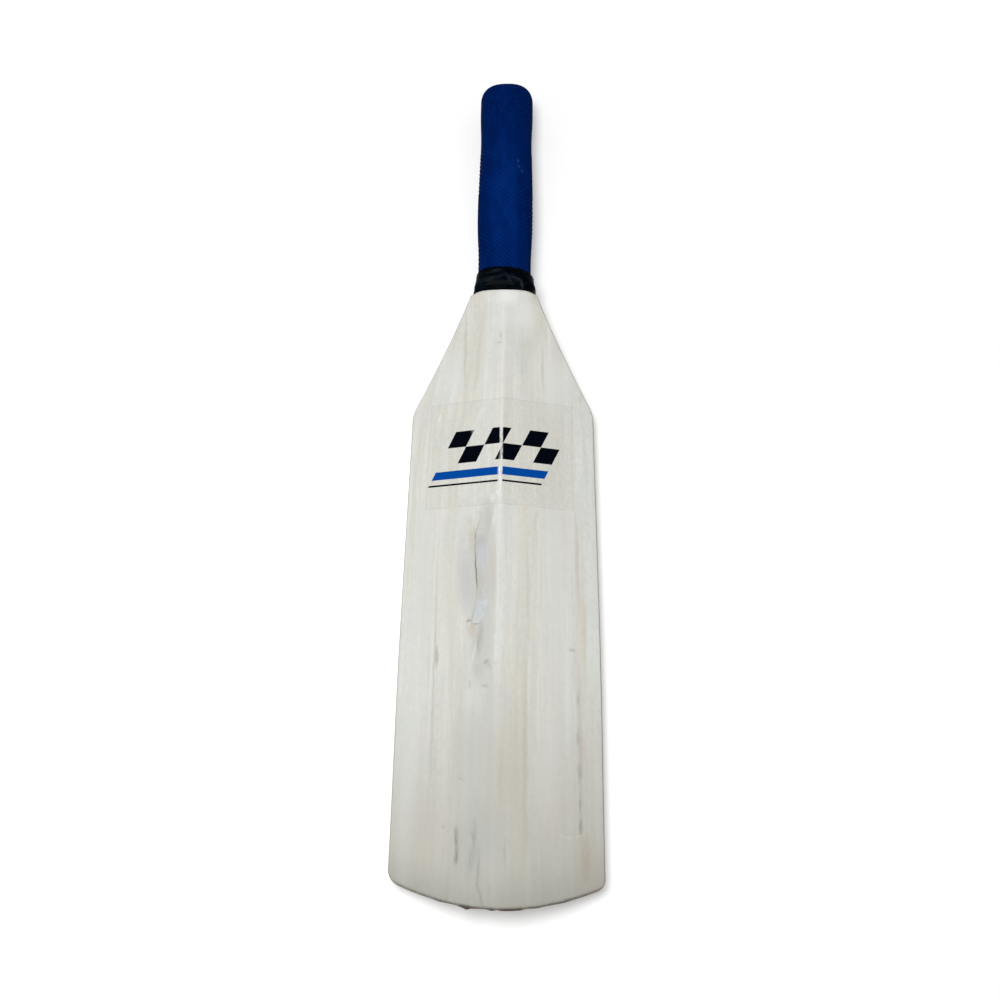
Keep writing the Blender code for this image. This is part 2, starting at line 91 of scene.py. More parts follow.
# Grip, tape and label. Sizes are the solids', and the grip is then made a little slimmer, the
# tape is shifted to the right, and its upper edge slants and bows.
GRIP_WALL = 1.8 * MM
GRIP_LIP = 0.7 * MM
GRIP_LIP_LENGTH = 14 * MM
GRIP_END_RADIUS = 9.8 * MM
GRIP_END_CROWN = 0.8 * MM
GRIP_CLEAR_OF_FACE = 0.9 * MM
GRIP_SLIMMER = 0.18 * MM
GRIP_WAIST = 0.6 * MM
GRIP_WAIST_PLACE = 22 * MM
GRIP_WAIST_REACH = 26 * MM
SOLID_GAP = 0.3 * MM
RIB_COUNT = 30
RIB_DEPTH = 0.22 * MM
RIB_LEAN = math.radians(46)
RIB_BAND = 32 * MM
RIB_BANDS = 3
RIBS_FROM_BUTT = 51.5 * MM
RIB_FADE = 3 * MM
CREST_SHARPNESS = 1.3
POINTS_PER_RIB = 8
DOME_RINGS = 14
TAPE_THICKNESS = 0.5 * MM
TAPE_SPREAD = 0.2 * MM
TAPE_SHIFT = 0.5 * MM
TAPE_SLANT = 0.06
TAPE_BOW = 2.3 * MM
TAPE_BOW_LEVEL = 0.45
TAPE_SECOND_TURN = 1.3 * MM
TAPE_STEP_RUN = 3 * MM
TAPE_EDGE_RUN = 0.15 * MM
LABEL_WIDTH = 74.8 * MM
LABEL_LENGTH = 59.0 * MM
LABEL_BELOW_SHOULDER = 26.4 * MM
LABEL_SHIFT = -0.7 * MM
LABEL_SKEW = math.radians(-0.4)

# The film as it is, thinner than its solid, and how far it stands off the wood, bridges the
# ridge and is lifted in its blisters
FILM_THICKNESS = 0.08 * MM
FILM_CLEARANCE = 0.05 * MM
RIDGE_LIFT = 0.12 * MM
RIDGE_LIFT_REACH = 1.2 * MM
BLISTER_LIFT = 0.16 * MM

# Places that follow from the sizes
SHOULDER_Y = TOE_Y + BLADE_LENGTH
NECK_Y = SHOULDER_Y + SHOULDER_LENGTH
TOE_CORNER_Y = TOE_Y + TOE_CROWN
ROOF_SLOPE = (RIDGE_THICKNESS - EDGE_THICKNESS) / (BLADE_WIDTH / 2)
ROOF_ANGLE = math.atan(ROOF_SLOPE)
CORE_CENTRE_Z = GRIP_CLEAR_OF_FACE + GRIP_WALL + SOLID_GAP + CORE_THICKNESS / 2
RIBS_END_Y = BUTT_Y - RIBS_FROM_BUTT
LABEL_Y = SHOULDER_Y - LABEL_BELOW_SHOULDER

# Shares of a quarter of the section: upright side, eased edge, then flat or roof
SIDE_SHARE = 0.1
FLAT_SHARE = 0.4
FLAT_SPREAD = 1.75

# Points round a section's upright side and eased edge, and how they crowd towards the ridge
SIDE_STEPS = 2
EDGE_STEPS = 5
OUTWARD_CROWDING = 1.25


def ease(value, start, end):
    """Share from 0 at start to 1 at end, leaving and arriving level."""
    share = np.clip((value - start) / (end - start), 0.0, 1.0)
    return share * share * (3 - 2 * share)


def mix(a, b, share):
    return a + (b - a) * share


def steps(start, end, count):
    """Values from start up to, and without, end."""
    return list(np.linspace(start, end, count, endpoint=False))


def hump(value, centre, reach):
    """Bell curve of height 1 about a centre."""
    return np.exp(-((value - centre) / reach) ** 2)


# Sections of the wood

def core_half_width(y):
    """Half the width of the handle core, which swells and draws in along the hand."""
    stops = (
        (NECK_Y + NECK_RUNOUT, 26.4 * MM),
        (BUTT_Y - 103 * MM, 28.0 * MM),
        (BUTT_Y - 43 * MM, 26.6 * MM),
        (BUTT_Y - 20 * MM, 28.0 * MM),
    )
    width = stops[0][1]
    for (start, _), (end, next_width) in zip(stops, stops[1:]):
        width = mix(width, next_width, ease(y, start, end))
    return width / 2


def blade_half_width(y):
    widest_y = TOE_CORNER_Y + TOE_TAPER_LENGTH
    below = mix(TOE_WIDTH, BLADE_WIDTH, ease(y, TOE_CORNER_Y, widest_y))
    return mix(below, SHOULDER_WIDTH, ease(y, widest_y, SHOULDER_Y)) / 2


def half_width(y):
    """Half the width of the wood in plan."""
    if y > NECK_Y:
        run = max(min(NECK_Y + NECK_RUNOUT - y, NECK_RUNOUT), 0.0)
        rise = NECK_WIDTH / 2 - NECK_LEDGE - core_half_width(NECK_Y)
        radius = (NECK_RUNOUT ** 2 + rise ** 2) / (2 * rise)
        ledge = NECK_LEDGE * (1 - ease(y, NECK_Y, NECK_Y + NECK_LEDGE_RUN))
        return core_half_width(y) + radius - math.sqrt(radius ** 2 - run ** 2) + ledge
    slope = ((SHOULDER_WIDTH - NECK_WIDTH) / 2 + 4 * SHOULDER_HOLLOW) / SHOULDER_LENGTH
    corner = SHOULDER_CORNER_RADIUS * math.tan(math.atan(slope) / 2)
    past = y - (SHOULDER_Y - corner)
    if past < 0:
        return blade_half_width(y)
    if past < corner * (1 + math.cos(math.atan(slope))):
        rounded = math.sqrt(SHOULDER_CORNER_RADIUS ** 2 - past ** 2)
        return SHOULDER_WIDTH / 2 + rounded - SHOULDER_CORNER_RADIUS
    share = (y - SHOULDER_Y) / SHOULDER_LENGTH
    return mix(SHOULDER_WIDTH, NECK_WIDTH, share) / 2 - SHOULDER_HOLLOW * 4 * share * (1 - share)


def ridge_radius(y):
    """The ridge softens from crisp to broad towards the toe."""
    start = SHOULDER_Y - RIDGE_FADE_START
    share = min(max((start - y) / (start - TOE_Y), 0.0), 1.0)
    return RIDGE_RADIUS * (RIDGE_RADIUS_TOE / RIDGE_RADIUS) ** share


def roof_height(x, radius):
    """Height of the back over x: two slopes that meet in a ridge of this radius."""
    x = np.abs(x)
    reach = radius * math.sin(ROOF_ANGLE)
    rounded = np.sqrt(np.maximum(radius ** 2 - x ** 2, 0.0)) - radius / math.cos(ROOF_ANGLE)
    return RIDGE_THICKNESS + np.where(x >= reach, -ROOF_SLOPE * x, rounded)


def ring_turns(flat_steps, side_steps=SIDE_STEPS, edge_steps=EDGE_STEPS, left_extra=()):
    """Places round a section, 0 to 4, from the left side under the face and back over the top.

    left_extra adds places on the left half, as shares of its width.
    """
    outward = np.linspace(0, 1, flat_steps + 1) ** OUTWARD_CROWDING
    quarters = []
    for across in (np.union1d(outward, left_extra), outward):
        upright = steps(0, SIDE_SHARE, side_steps)
        eased = steps(SIDE_SHARE, FLAT_SHARE, edge_steps)
        flat = 1 - (1 - FLAT_SHARE) * across[::-1] ** (1 / FLAT_SPREAD)
        quarters.append(np.concatenate([upright, eased, flat]))
    left, right = quarters
    return np.concatenate([left[:-1], 2 - right[:0:-1], 2 + right[:-1], 4 - left[:0:-1]])


def blade_outline(half, radius, trim, turns):
    """Flat face, upright sides and roofed back; trim brings the face and the back together."""
    quarter = np.floor(turns).astype(int)
    within = turns - quarter
    share = np.where(quarter % 2 == 0, within, 1 - within)
    side = np.where((quarter == 0) | (quarter == 3), -1.0, 1.0)
    above = quarter >= 2
    outward = np.clip((1 - share) / (1 - FLAT_SHARE), 0.0, 1.0) ** FLAT_SPREAD
    edge = np.clip((share - SIDE_SHARE) / (FLAT_SHARE - SIDE_SHARE), 0.0, 1.0)
    flat = share > FLAT_SHARE
    lower = FACE_EDGE_RADIUS
    upper = BACK_EDGE_RADIUS
    roof_end = half - upper + upper * math.sin(ROOF_ANGLE)
    edge_z = RIDGE_THICKNESS - ROOF_SLOPE * (half - upper) - upper / math.cos(ROOF_ANGLE)
    bend = np.where(above, (math.pi / 2 - ROOF_ANGLE) * edge, math.pi / 2 * edge)
    eased = np.where(above, upper, lower)
    flat_x = outward * np.where(above, roof_end, half - lower)
    x = np.where(flat, flat_x, half - eased + eased * np.cos(bend))
    under_z = trim + lower - lower * np.sin(bend)
    roof_z = roof_height(outward * roof_end, radius)
    over_z = np.where(flat, roof_z, edge_z + upper * np.sin(bend)) - trim
    middle = (trim + lower + edge_z - trim) / 2
    z = mix(middle, np.where(above, over_z, under_z), np.clip(share / SIDE_SHARE, 0.0, 1.0))
    return side * x, z


def handle_outline(half, y, turns):
    """A superellipse, squarer by the neck than at the butt."""
    power = mix(NECK_SQUARENESS, GRIP_SQUARENESS, ease(y, NECK_Y, NECK_Y + NECK_RUNOUT))
    power = mix(power, BUTT_SQUARENESS, ease(y, NECK_Y, BUTT_Y))
    angle = math.pi / 2 * (turns + 2)
    across = np.cos(angle)
    up = np.sin(angle)
    reach = (np.abs(across) ** power + np.abs(up) ** power) ** (-1 / power)
    return half * across * reach, CORE_CENTRE_Z + CORE_THICKNESS / 2 * up * reach


def wood_outline(y, turns):
    """Section of the wood at y, which turns from roofed blade to rounded handle at the neck."""
    half = half_width(y)
    share = ease(y, NECK_Y - ROUNDING_BEFORE_NECK, NECK_Y + ROUNDING_PAST_NECK)
    blade_x, blade_z = blade_outline(half, ridge_radius(y), 0.0, turns)
    handle_x, handle_z = handle_outline(half, y, turns)
    return mix(blade_x, handle_x, share), mix(blade_z, handle_z, share)


def grown(x, z, offset):
    """The outline moved outwards by offset, square to itself."""
    run_x = np.roll(x, -1) - np.roll(x, 1)
    run_z = np.roll(z, -1) - np.roll(z, 1)
    length = np.hypot(run_x, run_z)
    return x + run_z / length * offset, z - run_x / length * offset


def shrunk(x, z, inset):
    """The outline scaled about the handle's axis, so that its sides and back come in by inset."""
    half = x.max()
    rise = z.max() - CORE_CENTRE_Z
    return x * (half - inset) / half, CORE_CENTRE_Z + (z - CORE_CENTRE_Z) * (rise - inset) / rise


# Light: one soft lamp high over the label, a little to the left, and an even fill
KEY_PLACE = (-0.10, -0.07, 0.60)
KEY_SIZE = 0.28
KEY_POWER = 2.6
FILL_LIGHT = 0.35

# Floor: its half size, how far it lies under the bat, and how its own light grows with the
# square of the distance from the lamp
FLOOR_REACH = 3.0
FLOOR_DROP = 0.05 * MM
FLOOR_LIFT = 0.25
FLOOR_LIFT_SLOPE = 0.3
FLOOR_LIFT_CURVE = 3.0


# Meshes

def ring_at(x, y, z):
    return np.stack([x, np.broadcast_to(y, x.shape), z], axis=1)


def loft_faces(count, around):
    """Quads between each ring and the next."""
    faces = []
    for start in range(0, (count - 1) * around, around):
        for i in range(around):
            j = (i + 1) % around
            faces.append((start + i, start + around + i, start + around + j, start + j))
    return faces


def sheet_faces(across, along):
    """Faces of a thin sheet: a grid of points on top, the same beneath, and the border between."""
    beneath = across * along
    faces = []
    for row in range(along - 1):
        for i in range(across - 1):
            a = row * across + i
            b = beneath + a
            faces.append((a, a + 1, a + 1 + across, a + across))
            faces.append((b, b + across, b + 1 + across, b + 1))
    border = list(range(across)) + [row * across + across - 1 for row in range(1, along)]
    border += [(along - 1) * across + i for i in range(across - 2, -1, -1)]
    border += [row * across for row in range(along - 2, 0, -1)]
    sides = zip(border, border[1:] + border[:1])
    return faces + [(a, beneath + a, beneath + b, b) for a, b in sides]


def cap_faces(start, around, outward_last):
    """Strips from the face to the back of a symmetrical ring, with one polygon at each side."""
    rim = SIDE_STEPS + EDGE_STEPS
    half = around // 2
    faces = [tuple(start + (middle + i) % around for i in range(-rim, rim + 1))
             for middle in (0, half)]
    for i in range(rim, half - rim):
        faces.append((start + i, start + i + 1, start + around - i - 1, start + around - i))
    if outward_last:
        faces = [tuple(reversed(face)) for face in faces]
    return faces


def make_piece(name, points, faces, finish, smooth_below=35):
    """A piece at the origin with its place in its mesh, smooth up to the given angle."""
    mesh = bpy.data.meshes.new(name)
    mesh.from_pydata([tuple(p) for p in points], [], faces)
    mesh.materials.append(finish)
    mesh.shade_smooth()
    mesh.set_sharp_from_angle(angle=math.radians(smooth_below))
    mesh.validate()
    piece = bpy.data.objects.new(name, mesh)
    bpy.context.scene.collection.objects.link(piece)
    return piece


def give_attribute(piece, name, values):
    """Store one number for each point of the piece, for its material or tree to read."""
    stored = piece.data.attributes.new(name, "FLOAT", "POINT")
    stored.data.foreach_set("value", np.asarray(values, dtype=np.float32))


def baked(piece):
    """Turn the piece's modifiers into plain mesh."""
    depsgraph = bpy.context.evaluated_depsgraph_get()
    mesh = bpy.data.meshes.new_from_object(piece.evaluated_get(depsgraph))
    old = piece.data
    piece.modifiers.clear()
    piece.data = mesh
    mesh.name = old.name
    bpy.data.meshes.remove(old)
    return piece


# Materials

# Short names for the nodes that repeat, with their kind and settings
NODES = {
    "mix": ("ShaderNodeMix", {"data_type": "RGBA"}),
    "ramp": ("ShaderNodeMapRange", {"interpolation_type": "SMOOTHSTEP"}),
    "axes": ("ShaderNodeSeparateXYZ", {}),
    "vector": ("ShaderNodeCombineXYZ", {}),
    "carried": ("ShaderNodeAttribute", {}),
}
for operation in ("ADD", "SUBTRACT", "MULTIPLY", "DIVIDE", "MULTIPLY_ADD", "POWER", "EXPONENT",
                  "ABSOLUTE", "MINIMUM", "MAXIMUM", "COMPARE", "COSINE"):
    NODES[operation] = ("ShaderNodeMath", {"operation": operation})


def linear(code):
    """Linear colour of an sRGB hex value."""
    channels = [int(code[i:i + 2], 16) / 255 for i in (1, 3, 5)]
    return [c / 12.92 if c <= 0.04045 else ((c + 0.055) / 1.055) ** 2.4 for c in channels] + [1.0]


def give(tree, node, sockets):
    """Give a node's inputs, by name or number, a value or a link from an output or another node."""
    for name, value in sockets.items():
        if isinstance(value, bpy.types.Node):
            value = next(output for output in value.outputs if output.enabled)
        if isinstance(value, bpy.types.NodeSocket):
            tree.links.new(value, node.inputs[name])
        else:
            node.inputs[name].default_value = value


def add(tree, kind, *values, sockets=None, **settings):
    """Add a node. values fill its inputs in use in order, and sockets gives others by name."""
    kind, preset = NODES.get(kind, (kind, {}))
    node = tree.nodes.new(kind)
    for name, value in {**preset, **settings}.items():
        setattr(node, name, value)
    in_use = [number for number, socket in enumerate(node.inputs) if socket.enabled]
    give(tree, node, {**dict(zip(in_use, values)), **(sockets or {})})
    return node


def new_material(name):
    """An empty node material and its Principled shader."""
    finish = bpy.data.materials.new(name)
    finish.use_nodes = True
    return finish, finish.node_tree, finish.node_tree.nodes["Principled BSDF"]


def coated(tree, colour, *coats):
    """The colour under coats of others, each over the last.

    A coat is a hex value and its share. Where three numbers follow, the share runs smoothly
    from 0 at the first of them to the third at the second.
    """
    for code, share, *limits in coats:
        if limits:
            bare, full, strength = limits
            share = add(tree, "ramp", share, bare, full, 0, strength)
        colour = add(tree, "mix", share, colour, linear(code))
    return colour


def object_mm(tree):
    """Object coordinates in millimetres."""
    place = add(tree, "ShaderNodeTexCoord").outputs["Object"]
    return add(tree, "ShaderNodeVectorMath", place, 1 / MM, operation="SCALE")


def facing_up(tree):
    """1 where the surface faces up, 0 where it is upright."""
    normal = add(tree, "ShaderNodeNewGeometry").outputs["Normal"]
    return add(tree, "axes", normal).outputs["Z"]


def stretched_noise(tree, place, size, detail=3.0, roughness=0.5):
    """Noise whose grains measure size millimetres along each axis."""
    scaled = add(tree, "ShaderNodeMapping", place, sockets={"Scale": [1 / s for s in size]})
    return add(tree, "ShaderNodeTexNoise", scaled, 1, detail, roughness)


# How far a mark reaches up and down from the surface, in mm, so that it stays off the face beneath
MARK_DEPTH = 9


def spot(tree, place, mark, strength, core=0.9, z=None):
    """Share of one mark: strength in its middle, which fades to 0 at its rim.

    mark is x, y, half width and half length in millimetres, and degrees that turn its
    upper end to the left. Unless z is given, it lies on the roofed back.
    """
    x, y, across, along, lean = mark
    height = RIDGE_THICKNESS / MM - ROOF_SLOPE * abs(x) if z is None else z
    local = add(tree, "ShaderNodeMapping", place, (x, y, height), (0, 0, math.radians(lean)),
                (across, along, MARK_DEPTH), vector_type="TEXTURE")
    inward = add(tree, "ShaderNodeTexGradient", local, gradient_type="SPHERICAL").outputs["Fac"]
    return add(tree, "ramp", inward, 0, core, 0, strength)


# The second dab of filler, in millimetres: its middle, its lean with the grain, and how far
# from its middle it covers in full and is gone, across and along
DAB_X = -8.7
DAB_Y = -102.3
DAB_LEAN = 0.22
DAB_REACH_ACROSS = (1.9, 3.0)
DAB_REACH_ALONG = (4.8, 6.0)
DAB_RAGGED = 3.6
DAB_COVER = 0.62


def with_second_dab(tree, in_mm, under):
    """The colour under a second, bluer dab of filler with ragged square edges."""
    axes = add(tree, "axes", in_mm).outputs
    along = add(tree, "SUBTRACT", axes["Y"], DAB_Y)
    across = add(tree, "ADD", axes["X"], add(tree, "MULTIPLY_ADD", along, -DAB_LEAN, -DAB_X))
    rough = stretched_noise(tree, in_mm, (1.4, 3, 2), 4, 0.7)
    ragged = add(tree, "MULTIPLY_ADD", rough, DAB_RAGGED, -DAB_RAGGED / 2)
    shares = []
    for apart, (full, gone) in ((across, DAB_REACH_ACROSS), (along, DAB_REACH_ALONG)):
        edge = add(tree, "ADD", add(tree, "ABSOLUTE", apart), ragged)
        shares.append(add(tree, "ramp", edge, gone, full))
    streaks = stretched_noise(tree, in_mm, (0.9, 4, 2), 3, 0.6)
    dab = coated(tree, linear("#bcc4c9"), ("#d0d6d8", streaks, 0.38, 0.6, 1))
    cover = add(tree, "MULTIPLY", add(tree, "MULTIPLY", *shares), DAB_COVER)
    return add(tree, "mix", cover, under, dab)


# Marks on the wood: x, y, half width and half length in millimetres, lean in degrees, colour
# and strength. Later ones lie on top.
BROAD_BANDS = (
    (-41, -165, 9, 90, 0, "#dfe5e4", 0.35),
    (-36, -80, 14, 70, 0, "#cfd1cb", 0.5),
    (-23, -90, 7, 80, 0, "#cbcbc2", 0.4),
    (-17, 42, 4.5, 42, 2, "#cfccc0", 0.35),
    (14, 38, 4.5, 30, 0, "#cecdc3", 0.2),
    (4, 36, 4, 34, 0, "#d6d7d2", 0.35),
    (-6, 32, 5, 26, 0, "#cdccc4", 0.4),
    (0, 60, 6, 14, 0, "#ecece8", 0.4),
    (20, 32, 10, 24, -10, "#e8e8e5", 0.35),
    (-31, 25, 9, 30, 8, "#dce0de", 0.4),
    (30, 15, 8, 40, -10, "#dcddd9", 0.3),
    (2, 73, 10, 9, 0, "#f0f0ec", 0.7),
    (11, 61, 11, 18, 0, "#ececea", 0.55),
    (27, 22, 12, 30, -12, "#e2e3df", 0.4),
    (27, -100, 12, 90, 0, "#dcdddb", 0.5),
    (39.5, -105, 3.4, 75, 0, "#cdc3b2", 0.4),
    (40.5, -103, 2.4, 16, 0, "#c8b3a4", 0.15),
    (-16.5, -80, 5.5, 38, 0, "#b4b4b2", 0.4),
    (-16, -132, 5, 28, 0, "#bdbcb4", 0.3),
    (-14.2, -89, 5.2, 26, 1, "#bbbbbf", 0.6),
    (-8, -84, 9, 46, 0, "#b6b6b0", 0.7),
    (-7, -55, 4, 16, 0, "#b3b3ae", 0.6),
    (-9, -118, 9, 26, 0, "#b9bab3", 0.6),
    (-4, -155, 10, 60, 0, "#bbbbb4", 0.6),
    (-13, -168, 13, 34, 0, "#b9bab4", 0.55),
    (8, -168, 8, 42, 0, "#c1b8a9", 0.28),
    (0, -172, 7, 24, 0, "#b9afa1", 0.3),
    (1, -184, 13, 30, 0, "#b8b0a4", 0.22),
    (-31, -200, 17, 26, 0, "#c5bcb3", 0.4),
    (28, -188, 14, 22, 0, "#c6bdb3", 0.25),
    (40, -212, 11, 20, 0, "#b3a797", 0.35),
    (-8, -200, 17, 26, 0, "#aeb0a9", 0.5),
    (22, -170, 13, 44, 0, "#dedfda", 0.3),
    (-16, -206, 6, 16, 0, "#a9a9a2", 0.25),
    (44, -174, 5, 24, 0, "#d4cfc6", 0.3),
)
GRAIN_LINES = (
    (-20.2, 42, 1.4, 40, 1, "#b9b6a4", 0.45),
    (-13.2, 36, 1.6, 30, -3, "#c3c1b1", 0.35),
    (21.2, 30, 1.0, 22, 0, "#bab8a9", 0.45),
    (10.4, 34, 1.3, 28, 0, "#c3c2b5", 0.35),
    (-30.4, -130, 0.9, 95, 0.3, "#b3afa0", 0.45),
    (-21.5, -150, 0.7, 70, 0.5, "#bcb8ab", 0.3),
    (13.8, -95, 1.3, 42, 0.8, "#b8b2a3", 0.28),
    (12.6, -165, 1.8, 72, 0, "#aca18e", 0.28),
    (8.2, -150, 0.7, 50, 0, "#bbb1a0", 0.15),
    (2.0, -176, 0.9, 26, 0, "#ada291", 0.2),
    (17.3, -56, 0.7, 16, 0, "#b8b4a8", 0.35),
    (20.0, -85, 0.6, 34, 0, "#bebaae", 0.25),
    (37.3, -165, 2.0, 66, 0, "#aca392", 0.35),
    (37.6, -75, 1.5, 40, 0, "#b7b0a2", 0.35),
    (32.0, -143, 1.8, 32, 0, "#dde4da", 0.35),
    (18.4, -145, 1.0, 30, 0, "#e4e4df", 0.3),
    (-11.2, -121, 0.9, 11, -14, "#e2e1db", 0.45),
)
# Along the ridge: a painted highlight in three runs, a pinkish streak to its left and short pale
# streaks
RIDGE_HIGHLIGHT_AND_STREAKS = (
    (-1.9, 30, 1.5, 62, 0, "#d3cdc5", 0.2),
    (0.9, 44, 1.3, 42, 0.5, "#ececea", 0.4),
    (0.2, -4, 1.0, 70, 0.4, "#ececea", 0.4),
    (-0.9, -84, 1.0, 42, 0.6, "#e8e8e4", 0.3),
    (-1.2, -119, 1.1, 11, 0, "#e8e8e4", 0.3),
    (-3.4, -57, 1.3, 8, -6, "#eeeeec", 0.5),
)
STAINS = (
    (-14.0, -64, 3.6, 15, 6, "#b3a88d", 0.4),
    (-3.4, -80, 2.0, 19, 0, "#cbb8a5", 0.35),
    (-13.1, -111, 3.4, 5.0, 0, "#c3a594", 0.5),
    (-14.2, -106.3, 1.4, 1.1, 0, "#6f6a60", 0.7),
    (-10.4, -107.8, 2.8, 1.1, 8, "#7a746b", 0.7),
    (-8.8, -115, 2.4, 12, -6, "#96968e", 0.5),
    (-5.6, -126.2, 2.6, 1.5, 30, "#85857c", 0.45),
    (-4.2, -128.4, 1.4, 2.6, 30, "#85857c", 0.4),
    (-6.4, -137.4, 2.8, 1.2, -14, "#8a8a81", 0.4),
    (-9.0, -131.0, 4.2, 7.0, 0, "#a9a9a1", 0.3),
    (-12.9, -136, 0.8, 3.8, 0, "#8c897d", 0.45),
    (-29.3, -122.5, 1.2, 8, 3, "#757163", 0.6),
    (34.2, -119, 3.4, 1.2, 5, "#8a8679", 0.4),
    (37.0, -142, 1.2, 6, 0, "#8a8272", 0.35),
    (36.8, -158, 1.2, 6, 0, "#8a8272", 0.3),
    (37.0, -174, 1.2, 6, 0, "#857c6c", 0.4),
    (36.8, -187, 1.0, 6.0, 2, "#7b7262", 0.42),
    (37.4, -196, 1.2, 6.5, -3, "#756c5d", 0.45),
    (38.5, -165, 3.2, 11, 0, "#c0a59a", 0.22),
    (39, -210, 2.8, 13, 0, "#a18674", 0.25),
    (-17.4, -203, 1.7, 8, 3, "#5a5e52", 0.55),
    (-16.9, -209.5, 1.4, 4.8, -4, "#575b4f", 0.6),
    (-9.4, -200, 1.9, 9, 0, "#7d8178", 0.4),
    (-10.6, -211, 3.4, 9, -14, "#868a83", 0.35),
    (-7.2, -214, 1.0, 12, -2, "#7e7f78", 0.35),
    (-6.2, -224.5, 1.0, 7, 14, "#7b7b74", 0.4),
    (3.8, -208, 0.8, 9, 0, "#8a8b84", 0.3),
    (-16, -178, 2.6, 0.8, -28, "#928e82", 0.35),
    (-23.5, -198, 1.4, 1.4, 0, "#a09483", 0.4),
    (30.5, -200.8, 4.6, 0.8, -9, "#e5ddd2", 0.3),
    (36.8, -200.3, 3.0, 0.8, 6, "#e3dbd0", 0.25),
    (-0.9, 48.5, 0.9, 3.4, 0, "#8f8b7e", 0.35),
    (-1.7, 44.0, 2.6, 1.3, 0, "#918e81", 0.3),
    (4.4, 43.8, 1.4, 1.2, 0, "#94928a", 0.25),
    (8, 52, 9, 7, 0, "#c6c6be", 0.15),
)

# The dead knot that the grain flows round, in millimetres: its middle, how far it is felt,
# and how far it pushes the grain aside
KNOT_X = -8.5
KNOT_Y = -84
KNOT_REACH_ACROSS = 13
KNOT_REACH_ALONG = 30
KNOT_BULGE = 4


